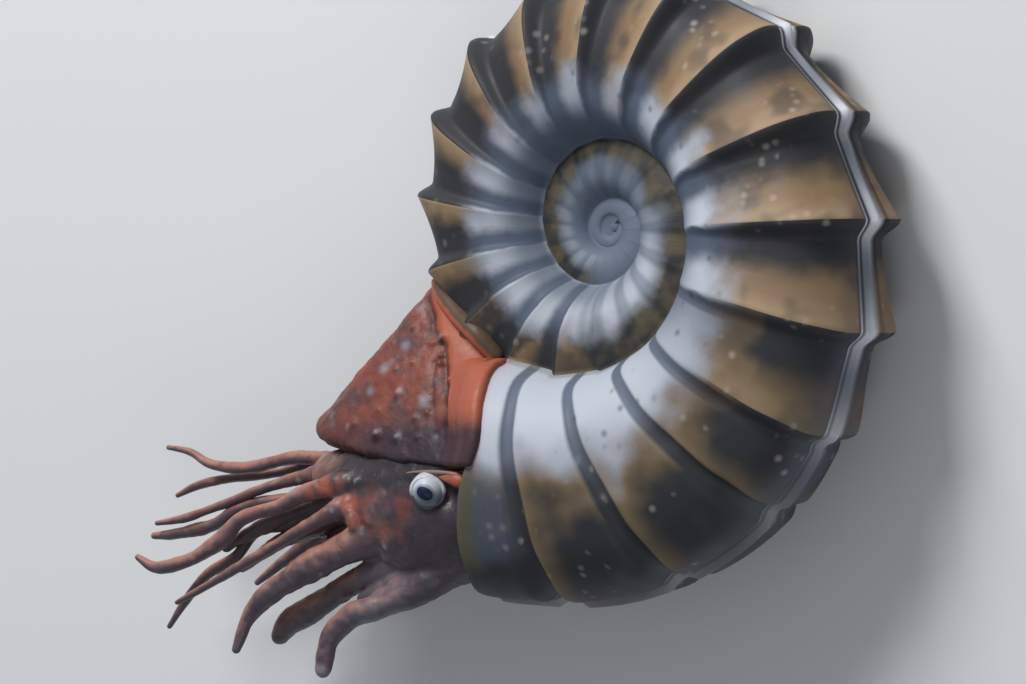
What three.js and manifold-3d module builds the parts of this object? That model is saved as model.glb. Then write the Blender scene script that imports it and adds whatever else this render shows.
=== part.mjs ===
// Life-size model of a ribbed, keeled ammonite with its animal: a coiled shell, and in the
// shell's mouth a head with two eyes, a fleshy hood above it and eleven arms in front.
// Everything is built in the shell's own frame first: the coiling axis is Z, the shell's plane
// of symmetry is z = 0 and the arms point to -X. Last, the whole model is laid down on the ribs
// of its far flank, which carry it.
import * as THREE from 'three';
import { mergeVertices } from 'three/addons/utils/BufferGeometryUtils.js';
import Module from 'manifold-3d';

const wasm = await Module();
wasm.setup();
const { clamp, degToRad, lerp, smoothstep } = THREE.MathUtils;

// Driving dimensions, in millimetres and degrees. Turns count along the coil: 0 is near the
// mouth, and -1 is one whorl further in. Rings are the sections that the coil is built on.
const shellDiameter = 200;
const keelRadius = 0.59 * shellDiameter;
const growth = 0.6846;
const growthSlowing = 0.0862;
const mouthAngle = -105;
const ribsPerTurn = 17;
const ringsPerTurn = 4 * ribsPerTurn;
const firstCrest = -0.2955;
const lipRing = 24;
const centreRing = -212;
const coarseRing = -116;
const slant = 0.05;
const slantStart = -0.36;
const slantFull = -0.09;
const seamShift = 0.65;
const dropWidth = 0.17;
const hollowEnd = 0.29;
const bandHeight = 0.4;
const furrowPlace = 0.14;
const furrowWidth = 0.13;
const lipLead = 0.011;
const lipFlare = 2.4;
const buttonShare = 0.3;
const wallThickness = 2.5;
const seatGap = 0.3;
const neckEndShare = 0.06;
const eyeRadius = 6;
const eyePlace = { x: -54, y: -81, z: 22.5 };
const armSides = 8;
const armRingStep = 8;
const wartCount = 12;
const wartRadius = 2.4;
const wartSpacing = { along: 0.755, level: 0.57 };
const hoodSag = 4;
const leanAboutX = -4.1;
const leanAboutY = 0.4;
const restFlat = 0.8;

// Half of a whorl's section, from the keel to the flank. out and side are shares of the keel
// radius: distance from the coiling axis and half width. rib says how far a rib lifts the
// point, and lag how far the ribs of the last half whorl slant back there.
const halfSection = [
  { out: 1.0, side: 0.0, rib: 0.05, lag: 1.0 },
  { out: 0.978, side: 0.026, rib: 0.045, lag: 1.0 },
  { out: 0.984, side: 0.062, rib: 0.055, lag: 1.0 },
  { out: 0.962, side: 0.125, rib: 0.07, lag: 1.0 },
  { out: 0.905, side: 0.192, rib: 0.068, lag: 1.0 },
  { out: 0.835, side: 0.235, rib: 0.055, lag: 0.93 },
  { out: 0.72, side: 0.268, rib: 0.04, lag: 0.82 },
  { out: 0.6, side: 0.278, rib: 0.035, lag: 0.62 },
];
const upperWall = { along: 0.46, up: 0.86, rib: 0.018, lag: 0.42 };
const lowerWall = { along: 0.79, up: 0.48, rib: 0.006, lag: 0.12 };
const shoulderIndex = 5;
const leadingIndex = 6;
const flankIndex = halfSection.length - 1;
const seamIndex = flankIndex + 3;
const sectionMiddle = 0.69;

// The head, from inside the shell's mouth to the front between the arms: middle of each
// section, how far its top tips forward, half height and half width.
const headSections = [
  { x: -35, y: -79, tip: -22, height: 26, width: 25.5 },
  { x: -46, y: -81.5, tip: -14, height: 28.5, width: 25 },
  { x: -58, y: -83.5, tip: -8, height: 28, width: 24 },
  { x: -70, y: -84.5, tip: 0, height: 26, width: 22.5 },
  { x: -82, y: -85, tip: 8, height: 22.5, width: 19.5 },
  { x: -93, y: -84, tip: 18, height: 18, width: 16.5 },
  { x: -102, y: -81.5, tip: 28, height: 13, width: 13 },
  { x: -109, y: -79, tip: 34, height: 7, width: 8 },
];
const headSides = 20;

// The hood's outline from the side, in the plane of symmetry: its ridge runs from the top,
// against the shell, to the tip above the arms, and its base goes into the shell's mouth.
const hoodTop = { x: -65, y: -16 };
const hoodTip = { x: -112, y: -67 };
const hoodBaseTop = { x: -29, y: -42 };
const hoodBaseEnd = { x: -36, y: -77 };
const hoodRidgeWidths = [5, 8, 6];
const hoodBaseWidths = [13, 22, 29];
const hoodLevels = [0, 0.03, 0.1, 0.25, 0.45, 0.7, 1];
const hoodEdge = [
  { along: 0, width: 0.45 },
  { along: 0.05, width: 0.8 },
  { along: 0.18, width: 0.95 },
  { along: 0.4, width: 1 },
  { along: 0.62, width: 1 },
  { along: 0.82, width: 1 },
  { along: 0.95, width: 0.97 },
  { along: 1, width: 0.84 },
];

// Where each arm runs, from its root in the head to its tip: x, y, z and the arm's radius.
const arms = {
  arm_01: [[-101, -76, -2, 2.8], [-111, -72, -2.5, 2.2], [-122, -71, -3, 1.8], [-145, -74.5, -5, 1.6],
    [-160, -73, -7, 1.3], [-168, -69.5, -8, 1.1], [-178, -68, -9, 0.7]],
  arm_02: [[-104, -74, -8, 2.4], [-117, -73.5, -8.5, 2], [-136, -76, -10, 1.5], [-152, -77.5, -11, 1.3],
    [-168, -80, -12.5, 1.2], [-178, -83.5, -14, 0.7]],
  arm_03: [[-101, -78, 3, 2.4], [-113, -77, 2.5, 2], [-131, -80.5, 2, 1.5], [-149, -86, 1, 1.3],
    [-165, -90.5, 0.5, 1.2], [-176, -92, 0, 0.7]],
  arm_04: [[-105, -82, 2, 2.4], [-116, -83.5, 1.5, 2], [-136, -85.5, 0.5, 1.7], [-144, -87.5, 0, 1.7],
    [-153, -92, -1, 1.9], [-168, -95, -2.5, 1.7], [-180, -96, -3.7, 0.9]],
  arm_05: [[-84, -80, 11, 3.6], [-93, -79.5, 15, 3.2], [-108, -82.5, 15, 2.6], [-116, -86, 15, 2.2],
    [-132, -90.5, 14.5, 2.1], [-141, -97.5, 14, 2.4], [-155, -104, 14, 2], [-166, -105.5, 13.5, 1.6],
    [-174, -102, 13, 0.8]],
  arm_06: [[-94, -83, 7, 2.6], [-105, -85, 8.5, 2.3], [-116, -91, 8, 1.9], [-132, -94.5, 7, 1.7],
    [-140, -102, 6, 1.6], [-153, -108.5, 5, 1.5], [-162, -117, 3.5, 1.2], [-169, -125, 2.5, 0.7]],
  arm_07: [[-84, -84, 12, 3], [-92, -86.5, 16, 2.5], [-104, -92, 17, 1.9], [-119, -99, 16, 1.6],
    [-140, -109, 15, 1.3], [-158, -117, 14, 0.7]],
  arm_08: [[-101, -85, -6, 3], [-112, -91, -8, 2.6], [-124, -98.5, -9, 2.1], [-136, -105.5, -10, 1.6],
    [-145, -111, -11, 0.8]],
  arm_09: [[-77, -92, 9, 5], [-88, -97.5, 13, 4.5], [-105, -105, 14, 4.1], [-119, -112.5, 15, 3.3],
    [-128, -120, 15, 2.3], [-133.5, -132.5, 16, 1]],
  arm_10: [[-73, -100, 4, 4.4], [-83, -105, 6.5, 3.9], [-98, -111.5, 6, 3.5], [-112, -118.5, 5, 3.7],
    [-120, -122.5, 4.5, 3.3], [-127, -129, 3.5, 1.4]],
  arm_11: [[-54, -104, 8, 4.6], [-66, -112, 10.5, 4], [-82, -117.5, 11, 3.6], [-93, -121, 11, 3.5],
    [-100, -128, 12, 2.8], [-102.5, -140, 12.5, 1.3]],
};

// Materials.
const shellMaterial = new THREE.MeshStandardMaterial({ color: 0x8a7a60, roughness: 0.45, metalness: 0 });
const hoodMaterial = new THREE.MeshStandardMaterial({ color: 0xb0563a, roughness: 0.5, metalness: 0 });
const headMaterial = new THREE.MeshStandardMaterial({ color: 0x8e4434, roughness: 0.5, metalness: 0 });
const armMaterial = new THREE.MeshStandardMaterial({ color: 0x7c4032, roughness: 0.5, metalness: 0 });
const eyeMaterial = new THREE.MeshStandardMaterial({ color: 0x9fb0b8, roughness: 0.15, metalness: 0 });

// From three.js meshes to solids and back.
function signedVolume(geometry) {
  const position = geometry.getAttribute('position');
  const index = geometry.getIndex();
  const corners = [new THREE.Vector3(), new THREE.Vector3(), new THREE.Vector3()];
  let volume = 0;
  for (let i = 0; i < index.count; i += 3) {
    corners.forEach((corner, c) => corner.fromBufferAttribute(position, index.getX(i + c)));
    volume += corners[0].dot(corners[1].clone().cross(corners[2])) / 6;
  }
  return volume;
}

function turnFacesOver(geometry) {
  const index = geometry.getIndex();
  for (let i = 0; i < index.count; i += 3) {
    const second = index.getX(i + 1);
    index.setX(i + 1, index.getX(i + 2));
    index.setX(i + 2, second);
  }
}

function toSolid(geometry) {
  const bare = geometry.clone();
  bare.deleteAttribute('normal');
  bare.deleteAttribute('uv');
  const merged = mergeVertices(bare);
  if (signedVolume(merged) < 0) turnFacesOver(merged);
  const vertProperties = new Float32Array(merged.getAttribute('position').array);
  const triVerts = new Uint32Array(merged.getIndex().array);
  return new wasm.Manifold(new wasm.Mesh({ numProp: 3, vertProperties, triVerts }));
}

function fromSolid(solid) {
  const { vertProperties, triVerts } = solid.getMesh();
  const geometry = new THREE.BufferGeometry();
  geometry.setAttribute('position', new THREE.Float32BufferAttribute(vertProperties, 3));
  geometry.setIndex(Array.from(triVerts));
  geometry.computeVertexNormals();
  return geometry;
}

function geometryOf(points, triangles) {
  const geometry = new THREE.BufferGeometry().setFromPoints(points);
  geometry.setIndex(triangles);
  return geometry;
}

// A closed body from rings of equally many points, with a fan of faces over each end.
function loft(rings) {
  const size = rings[0].length;
  const points = rings.flat();
  const triangles = [];
  for (let start = 0; start < points.length - size; start += size) {
    for (let i = 0; i < size; i += 1) {
      const a = start + i;
      const b = start + ((i + 1) % size);
      triangles.push(a, b, a + size, b, b + size, a + size);
    }
  }
  const starts = [0, points.length - size];
  starts.forEach((start, end) => {
    const middle = new THREE.Vector3();
    points.slice(start, start + size).forEach((point) => middle.addScaledVector(point, 1 / size));
    points.push(middle);
    for (let i = 0; i < size; i += 1) {
      const a = start + i;
      const b = start + ((i + 1) % size);
      triangles.push(...(end ? [a, b] : [b, a]), points.length - 1);
    }
  });
  return geometryOf(points, triangles);
}

// The coil.
function keelRadiusAt(turn) {
  return keelRadius * Math.exp(growth * turn - growthSlowing * turn * turn);
}

function turnOf(ring) {
  return firstCrest + ring / ringsPerTurn;
}

// Ribs run straight out from the seam, but slant back over the last third of a whorl.
function lagAt(turn) {
  const share = clamp((turn - slantStart) / (slantFull - slantStart), 0, 1);
  return slant * share * share;
}

// Ribs rise slowly to a sharp crest and fall steeply on its mouth side. Near the mouth they grow
// lower, and turn into broad flat bands, each with a narrow furrow on its mouth side.
function ribHeight(turn) {
  const phase = (turn - seamShift * lagAt(turn) - firstCrest) * ribsPerTurn;
  const fromCrest = phase - Math.round(phase);
  const pastCrest = fromCrest < 0 ? fromCrest + 1 : fromCrest;
  const falling = 1 - smoothstep(pastCrest, 0, dropWidth);
  const rising = clamp((pastCrest - hollowEnd) / (1 - hollowEnd), 0, 1) ** 1.7;
  const sharp = Math.max(falling, rising);
  const band = 1 - Math.exp(-(((fromCrest - furrowPlace) / furrowWidth) ** 2));
  const towardsMouth = smoothstep(turn, -0.2, -0.06);
  return lerp(sharp, band, towardsMouth) * lerp(1, bandHeight, smoothstep(turn, -0.3, -0.08));
}

// The seam, where a whorl meets the one before, lies on the shoulder of that one.
function sectionPoint(turn, index) {
  if (index <= flankIndex) return halfSection[index];
  const share = keelRadiusAt(turn - 1) / keelRadiusAt(turn);
  const flank = halfSection[flankIndex];
  const shoulder = halfSection[shoulderIndex];
  const wall = index === flankIndex + 1 ? upperWall : lowerWall;
  return {
    ...wall,
    out: lerp(flank.out, shoulder.out * share, wall.along),
    side: lerp(shoulder.side * share, flank.side, wall.up),
  };
}

// index counts from the keel, 0, towards the seam, and is negative on the far side. lift moves
// the point away from the middle of the whorl's section.
function surfacePoint(turn, index, lift = 0, lead = 0) {
  const section = sectionPoint(turn, Math.abs(index));
  const place = turn + lead - section.lag * lagAt(turn);
  const radius = keelRadiusAt(place);
  const angle = degToRad(mouthAngle) - 2 * Math.PI * place;
  const raise = section.rib * radius * ribHeight(turn) + lift;
  const away = new THREE.Vector2(section.out - sectionMiddle, section.side).setLength(raise);
  const out = section.out * radius + away.x;
  const side = section.side * radius + away.y;
  return new THREE.Vector3(out * Math.cos(angle), out * Math.sin(angle), index < 0 ? -side : side);
}

function coilPoint(ring, index, grow) {
  if (ring !== lipRing) return surfacePoint(turnOf(ring), index, grow);
  const leads = Math.abs(index) <= leadingIndex;
  return surfacePoint(turnOf(ring), index, grow + (leads ? lipFlare : 0), leads ? lipLead : 0);
}

// The coil is one closed skin, and each whorl's seam shares its points with the shoulder of the
// whorl before. The inner whorls have half as many rings. The first whorl closes in a button in
// the middle of each side, and the last one in a fan over the mouth.
function coilGeometry(grow) {
  const points = [];
  const numbers = new Map();
  const triangles = [];

  function numberOf(name, makePoint) {
    if (!numbers.has(name)) {
      numbers.set(name, points.length);
      points.push(makePoint());
    }
    return numbers.get(name);
  }

  function stepAt(ring) {
    return ring < coarseRing ? 2 : 1;
  }

  function corner(ring, index) {
    if (Math.abs(index) < seamIndex) return numberOf(`${ring} ${index}`, () => coilPoint(ring, index, grow));
    const side = Math.sign(index);
    const before = ring - ringsPerTurn;
    const height = side * buttonShare * keelRadiusAt(turnOf(centreRing));
    if (before < centreRing) return numberOf(`button ${side}`, () => new THREE.Vector3(0, 0, height));
    return corner(before - ((before - centreRing) % stepAt(before)), side * shoulderIndex);
  }

  function triangle(a, b, c) {
    if (a !== b && b !== c && c !== a) triangles.push(a, b, c);
  }

  for (let ring = centreRing; ring < lipRing; ring += stepAt(ring)) {
    const next = ring + stepAt(ring);
    for (let index = -seamIndex; index < seamIndex; index += 1) {
      const covered = index >= -shoulderIndex && index < shoulderIndex;
      if (covered && next + ringsPerTurn <= lipRing) continue;
      triangle(corner(ring, index), corner(ring, index + 1), corner(next, index + 1));
      triangle(corner(ring, index), corner(next, index + 1), corner(next, index));
    }
  }

  for (let index = shoulderIndex; index < seamIndex - 1; index += 1) {
    triangle(corner(centreRing, seamIndex), corner(centreRing, index + 1), corner(centreRing, index));
    triangle(corner(centreRing, -seamIndex), corner(centreRing, -index), corner(centreRing, -index - 1));
  }

  const mouth = numberOf('mouth', () => {
    const middle = surfacePoint(turnOf(lipRing), 0).add(surfacePoint(turnOf(lipRing) - 1, 0));
    return middle.multiplyScalar(0.5);
  });
  for (let index = -seamIndex; index < seamIndex; index += 1) {
    triangle(corner(lipRing, index), corner(lipRing, index + 1), mouth);
  }
  for (let index = -shoulderIndex; index < shoulderIndex; index += 1) {
    const behind = lipRing - ringsPerTurn;
    triangle(corner(behind, index + 1), corner(behind, index), mouth);
  }
  return geometryOf(points, triangles);
}

// The space inside the last whorl, inset from its wall and from the whorl that it coils over.
function chamberRing(ring, inset) {
  const points = [];
  for (let index = 1 - seamIndex; index < seamIndex; index += 1) {
    points.push(surfacePoint(turnOf(ring), index, -inset));
  }
  for (let index = shoulderIndex - 1; index > -shoulderIndex; index -= 1) {
    points.push(surfacePoint(turnOf(ring) - 1, index, inset));
  }
  return points;
}

function chamberSolid(inset) {
  const depths = [2, 1, 0, -1, -2, -3];
  return toSolid(loft(depths.map((depth) => chamberRing(lipRing - depth, inset))));
}

// grow makes a body larger all round, to cut its neighbours with room for a gap.
function shellBody(grow) {
  return toSolid(coilGeometry(grow)).subtract(chamberSolid(wallThickness + grow));
}

// The head.
function headRing({ x, y, tip, height, width }, grow) {
  const up = new THREE.Vector3(-Math.sin(degToRad(tip)), Math.cos(degToRad(tip)), 0);
  const points = [];
  for (let i = 0; i < headSides; i += 1) {
    const angle = (2 * Math.PI * i) / headSides;
    const point = new THREE.Vector3(x, y, (width + grow) * Math.sin(angle));
    points.push(point.addScaledVector(up, (height + grow) * Math.cos(angle)));
  }
  return points;
}

// The neck fills the mouth like a stopper, just short of the chamber's floor and of the lip.
function neckSolid(grow) {
  const rings = [2, 1, 0].map((depth) => chamberRing(lipRing - depth, wallThickness + seatGap - grow));
  const share = grow > 0 ? 0 : neckEndShare;
  rings[0].forEach((point, i) => point.lerp(rings[1][i], share));
  rings[2].forEach((point, i) => point.lerp(rings[1][i], share));
  return toSolid(loft(rings));
}

function skullSolid(grow) {
  return toSolid(loft(headSections.map((section) => headRing(section, grow))));
}

// The hood.
function between(widths, along) {
  const place = along * (widths.length - 1);
  const first = Math.min(Math.floor(place), widths.length - 2);
  return lerp(widths[first], widths[first + 1], place - first);
}

function hoodPoint(along, level) {
  const ridge = new THREE.Vector2(hoodTop.x, hoodTop.y).lerp(new THREE.Vector2(hoodTip.x, hoodTip.y), along);
  const base = new THREE.Vector2(hoodBaseTop.x, hoodBaseTop.y);
  base.lerp(new THREE.Vector2(hoodBaseEnd.x, hoodBaseEnd.y), along);
  const place = ridge.lerp(base, level);
  place.y -= hoodSag * Math.sin(Math.PI * level) * along * along;
  const rounding = Math.min(1, 0.5 + Math.sqrt(level * 2.5));
  const width = lerp(between(hoodRidgeWidths, along), between(hoodBaseWidths, along), level ** 0.6);
  return new THREE.Vector3(place.x, place.y, width * rounding);
}

function hoodRing(level) {
  const near = hoodEdge.map(({ along, width }) => {
    const point = hoodPoint(along, level);
    point.z *= width;
    return point;
  });
  const far = near.map((point) => new THREE.Vector3(point.x, point.y, -point.z));
  return [...near, ...far.reverse()];
}

function hoodBody() {
  let hood = toSolid(loft(hoodLevels.map(hoodRing)));
  for (let i = 1; i <= wartCount; i += 1) {
    const along = 0.12 + 0.76 * ((i * wartSpacing.along) % 1);
    const level = 0.06 + 0.5 * ((i * wartSpacing.level) % 1);
    const place = hoodPoint(along, level);
    for (const side of [1, -1]) {
      const wart = new THREE.OctahedronGeometry(wartRadius);
      wart.translate(place.x, place.y, side * place.z);
      hood = hood.add(toSolid(wart));
    }
  }
  return hood;
}

// The arms.
function armBody(route) {
  const bends = route.map(([x, y, z]) => new THREE.Vector3(x, y, z));
  const curve = new THREE.CatmullRomCurve3(bends, false, 'centripetal');
  const steps = Math.round(curve.getLength() / armRingStep);
  const { normals, binormals } = curve.computeFrenetFrames(steps, false);
  const rings = [];
  for (let step = 0; step <= steps; step += 1) {
    const middle = curve.getPointAt(step / steps);
    const along = curve.getUtoTmapping(step / steps) * (route.length - 1);
    const radius = between(route.map((bend) => bend[3]), along / (route.length - 1));
    const ring = [];
    for (let i = 0; i < armSides; i += 1) {
      const angle = (2 * Math.PI * i) / armSides;
      const point = middle.clone().addScaledVector(normals[step], radius * Math.cos(angle));
      ring.push(point.addScaledVector(binormals[step], radius * Math.sin(angle)));
    }
    rings.push(ring);
  }
  return toSolid(loft(rings));
}

function eyeBody(side, grow) {
  const ball = new THREE.SphereGeometry(eyeRadius + grow, 12, 7);
  ball.rotateX(Math.PI / 2);
  ball.translate(eyePlace.x, eyePlace.y, side * eyePlace.z);
  return toSolid(ball);
}

// The rest pose: the ribs that touch the ground are worn level there, by less than a millimetre.
const layDown = new THREE.Matrix4().makeRotationFromEuler(
  new THREE.Euler(degToRad(leanAboutX), degToRad(leanAboutY), 0),
);

function lowestOf(geometry) {
  return new THREE.Box3().setFromBufferAttribute(geometry.getAttribute('position')).min.z;
}

function cutLevel(solid) {
  const ground = lowestOf(fromSolid(solid).applyMatrix4(layDown)) + restFlat;
  const size = 2.5 * shellDiameter;
  const above = new THREE.BoxGeometry(size, size, shellDiameter);
  above.translate(0, 0, ground + shellDiameter / 2);
  return solid.intersect(toSolid(above.applyMatrix4(layDown.clone().invert())));
}

// The model.
const group = new THREE.Group();

function addMesh(name, solid, material) {
  const mesh = new THREE.Mesh(fromSolid(solid), material);
  mesh.name = name;
  group.add(mesh);
}

const aroundShell = shellBody(seatGap);
const sockets = eyeBody(1, seatGap).add(eyeBody(-1, seatGap));
const aroundHead = skullSolid(seatGap).add(neckSolid(seatGap)).add(sockets);
const hood = hoodBody().subtract(aroundHead).subtract(aroundShell);
const head = skullSolid(0).subtract(aroundShell).add(neckSolid(0)).subtract(sockets);

addMesh('shell', cutLevel(shellBody(0)), shellMaterial);
addMesh('hood', hood, hoodMaterial);
addMesh('head', head, headMaterial);
addMesh('eye_left', eyeBody(1, 0), eyeMaterial);
addMesh('eye_right', eyeBody(-1, 0), eyeMaterial);
for (const [name, route] of Object.entries(arms)) {
  addMesh(name, armBody(route).subtract(aroundHead), armMaterial);
}

group.setRotationFromMatrix(layDown);
const extent = new THREE.Box3().setFromObject(group, true);
const middle = extent.getCenter(new THREE.Vector3());
group.position.set(-middle.x, -middle.y, -extent.min.z);

export default group;
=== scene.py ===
# %% [markdown]
# # An ammonite and its animal
# An ammonite was a relative of squid and nautilus that carried a coiled shell. This lesson
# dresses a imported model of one: a ribbed shell with a keel, a warty hood, a head with two eyes
# and eleven arms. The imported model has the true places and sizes, so every piece made here
# takes its place from it, and only the fine surface and the colours are new.

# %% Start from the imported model
import math
import bpy
import numpy as np
from mathutils import Matrix, Vector, noise


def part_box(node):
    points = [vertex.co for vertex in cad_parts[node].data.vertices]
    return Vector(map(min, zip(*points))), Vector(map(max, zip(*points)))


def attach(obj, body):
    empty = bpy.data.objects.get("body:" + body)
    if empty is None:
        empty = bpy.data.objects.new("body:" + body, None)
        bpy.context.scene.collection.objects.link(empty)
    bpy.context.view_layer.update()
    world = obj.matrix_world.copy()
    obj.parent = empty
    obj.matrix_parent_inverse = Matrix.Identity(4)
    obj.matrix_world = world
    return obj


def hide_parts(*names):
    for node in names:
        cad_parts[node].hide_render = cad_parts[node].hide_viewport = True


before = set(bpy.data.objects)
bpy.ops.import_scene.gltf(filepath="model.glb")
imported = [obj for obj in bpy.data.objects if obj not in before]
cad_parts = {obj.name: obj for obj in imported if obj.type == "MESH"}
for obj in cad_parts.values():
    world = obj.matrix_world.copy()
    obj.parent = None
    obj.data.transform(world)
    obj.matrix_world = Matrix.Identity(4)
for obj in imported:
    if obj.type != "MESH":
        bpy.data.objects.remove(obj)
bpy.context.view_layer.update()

# %% [markdown]
# ## The shell's own frame
# A coil is easiest to describe round its own axis: z is the coiling axis, the keel lies in the
# plane z = 0, and the arms point to -x. The object lies on its ribs, so this frame is tipped by
# a few degrees. An eye is a ball, so the middle of its box is its centre wherever it is turned,
# and that one point says where the tipped frame lies.

# %% Find the shell's own frame
MM = 0.001
LEAN_ABOUT_X = math.radians(-4.1)
LEAN_ABOUT_Y = math.radians(0.4)
EYE_PLACE = Vector((-54, -81, 22.5))

lean = Matrix.Rotation(LEAN_ABOUT_X, 4, "X") @ Matrix.Rotation(LEAN_ABOUT_Y, 4, "Y")
low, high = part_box("eye_left")
to_row = Matrix.Translation((low + high) / 2 - lean @ (EYE_PLACE * MM)) @ lean @ Matrix.Scale(MM, 4)
print("the coiling axis stands at", [round(value, 4) for value in to_row.translation])

# %% [markdown]
# ## The camera and the frame of the picture
# The picture looks at the flank from about 35 degrees to the side, through a long lens, so
# there is next to no perspective. The object lies down here, so the camera looks down on it.
# The camera's place follows from the shell's own frame, a scale and the picture's centre.

# %% Camera
VIEW_ANGLE = math.radians(35.2)
PICTURE_WIDTH = 1026
MM_PER_PIXEL = 0.31051
PICTURE_CENTRE = (513, 342)
AXIS_IN_PICTURE = (613.4, 229.5)
CAMERA_DISTANCE = 8000
SEEN_FROM, SEEN_TO = 2, 20

towards_camera = Vector((math.sin(VIEW_ANGLE), 0, math.cos(VIEW_ANGLE)))
picture_right = Vector((math.cos(VIEW_ANGLE), 0, -math.sin(VIEW_ANGLE)))
picture_up = Vector((0, 1, 0))
shift_right = (PICTURE_CENTRE[0] - AXIS_IN_PICTURE[0]) * MM_PER_PIXEL
shift_up = (AXIS_IN_PICTURE[1] - PICTURE_CENTRE[1]) * MM_PER_PIXEL
looked_at = picture_right * shift_right + picture_up * shift_up

camera_data = bpy.data.cameras.new("camera")
camera = bpy.data.objects.new("camera", camera_data)
bpy.context.scene.collection.objects.link(camera)
camera_turn = Matrix((picture_right, picture_up, towards_camera)).transposed().to_4x4()
camera_place = Matrix.Translation(to_row @ (looked_at + towards_camera * CAMERA_DISTANCE))
camera.matrix_world = camera_place @ lean @ camera_turn
camera_data.lens = camera_data.sensor_width * CAMERA_DISTANCE / (PICTURE_WIDTH * MM_PER_PIXEL)
camera_data.clip_start, camera_data.clip_end = SEEN_FROM, SEEN_TO
bpy.context.scene.camera = camera
print("lens", round(camera_data.lens), "mm, camera at", [round(value, 2) for value in camera.location])

# %% [markdown]
# ## Floor and light
# The floor is plain and pale. In the picture the light falls from above, so here the main light
# is a soft, wide lamp on the picture's upper side. A weaker one fills in from the camera's
# side, and the pale surroundings light the rest.

# %% Floor and light
FLOOR_SIZE = 14
FLOOR_LOOK = {"Base Color": (0.62, 0.63, 0.64, 1), "Roughness": 0.8}
SURROUNDINGS = {"Color": (0.72, 0.76, 0.82, 1), "Strength": 0.36}
LAMPS = {
    "main_light": {"place": (-0.25, 1.15, 0.95), "size": 0.55, "watts": 25},
    "fill_light": {"place": (0.9, -0.95, 1.3), "size": 1.1, "watts": 5},
}


def add_lamp(name, place, size, watts):
    data = bpy.data.lights.new(name, "AREA")
    data.size = size
    data.energy = watts
    lamp = bpy.data.objects.new(name, data)
    bpy.context.scene.collection.objects.link(lamp)
    lamp.location = place
    lamp.rotation_euler = Vector(place).to_track_quat("Z", "Y").to_euler()


def set_look(owner, node, look):
    """Sets sockets of one node of a material or of the surroundings."""
    owner.use_nodes = True
    for name, value in look.items():
        owner.node_tree.nodes[node].inputs[name].default_value = value


floor_paint = bpy.data.materials.new("floor_paint")
set_look(floor_paint, "Principled BSDF", FLOOR_LOOK)
bpy.ops.object.select_all(action="DESELECT")
bpy.ops.mesh.primitive_plane_add(size=FLOOR_SIZE)
floor = bpy.context.object
floor.name = "floor"
floor.data.materials.append(floor_paint)
for name, lamp in LAMPS.items():
    add_lamp(name, **lamp)
world = bpy.data.worlds.new("surroundings")
set_look(world, "Background", SURROUNDINGS)
bpy.context.scene.world = world
bpy.context.scene.view_settings.view_transform = "Standard"
print("floor and", len(LAMPS), "lamps")

# %% [markdown]
# ## Sheets that follow a formula
# Shell and skin are one surface without corners, and a formula or a few drawn sections say
# where it lies. So the start is always a grid primitive, whose rows and columns are then laid
# on that surface, as cloth is on a dress form. Merging the points that meet closes the seams
# and the poles, and the normals are then turned outwards.

# %% Lay a grid on a surface
WELD_DISTANCE = 0.01


def read_points(mesh, name="co"):
    """What each point of a mesh has, such as its place, as rows of three numbers."""
    flat = np.empty(len(mesh.vertices) * 3)
    mesh.vertices.foreach_get(name, flat)
    return flat.reshape(-1, 3)


def laid_grid(name, points, pattern=None):
    """points and pattern are arrays of rows x columns: places in mm, and texture coordinates."""
    rows, columns = points.shape[:2]
    bpy.ops.object.select_all(action="DESELECT")
    bpy.ops.mesh.primitive_grid_add(x_subdivisions=columns - 1, y_subdivisions=rows - 1, size=2)
    sheet = bpy.context.object
    sheet.name = name
    mesh = sheet.data
    shares = (read_points(mesh) + 1) / 2
    column, row, _ = np.rint(shares * (columns - 1, rows - 1, 0)).astype(int).T
    mesh.vertices.foreach_set("co", points[row, column].ravel())
    if pattern is not None:
        corners = np.empty(len(mesh.loops), int)
        mesh.loops.foreach_get("vertex_index", corners)
        mesh.uv_layers[0].data.foreach_set("uv", pattern[row, column][corners].ravel())
    mesh.update()
    return sheet


def weld(sheet):
    bpy.ops.object.select_all(action="DESELECT")
    sheet.select_set(True)
    bpy.context.view_layer.objects.active = sheet
    bpy.ops.object.mode_set(mode="EDIT")
    bpy.ops.mesh.select_all(action="SELECT")
    bpy.ops.mesh.remove_doubles(threshold=WELD_DISTANCE)
    bpy.ops.mesh.dissolve_degenerate(threshold=WELD_DISTANCE)
    bpy.ops.mesh.normals_make_consistent(inside=False)
    bpy.ops.object.mode_set(mode="OBJECT")
    bpy.ops.object.shade_smooth()


def join(pieces, name):
    bpy.ops.object.select_all(action="DESELECT")
    for piece in pieces:
        piece.select_set(True)
    bpy.context.view_layer.objects.active = pieces[0]
    bpy.ops.object.join()
    pieces[0].name = name
    return pieces[0]


def put_in_place(piece, node, finish):
    """Moves a finished mesh from the shell's own frame to the object's, and hands it over."""
    piece.data.transform(to_row)
    piece.data.materials.clear()
    piece.data.materials.append(finish)
    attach(piece, "root")
    if node:
        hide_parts(node)
    print(piece.name, "has", len(piece.data.polygons), "faces")


print("points closer than", WELD_DISTANCE, "mm are merged")

# %% [markdown]
# ## Finishes written as sums
# A finish is a network of small nodes, and most of them only add and multiply. Wrapping a
# node's socket in a class with Python's own operators lets a mask be written as a sum, such as
# 1 - mask * 0.5, and each operator adds its own node.

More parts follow.
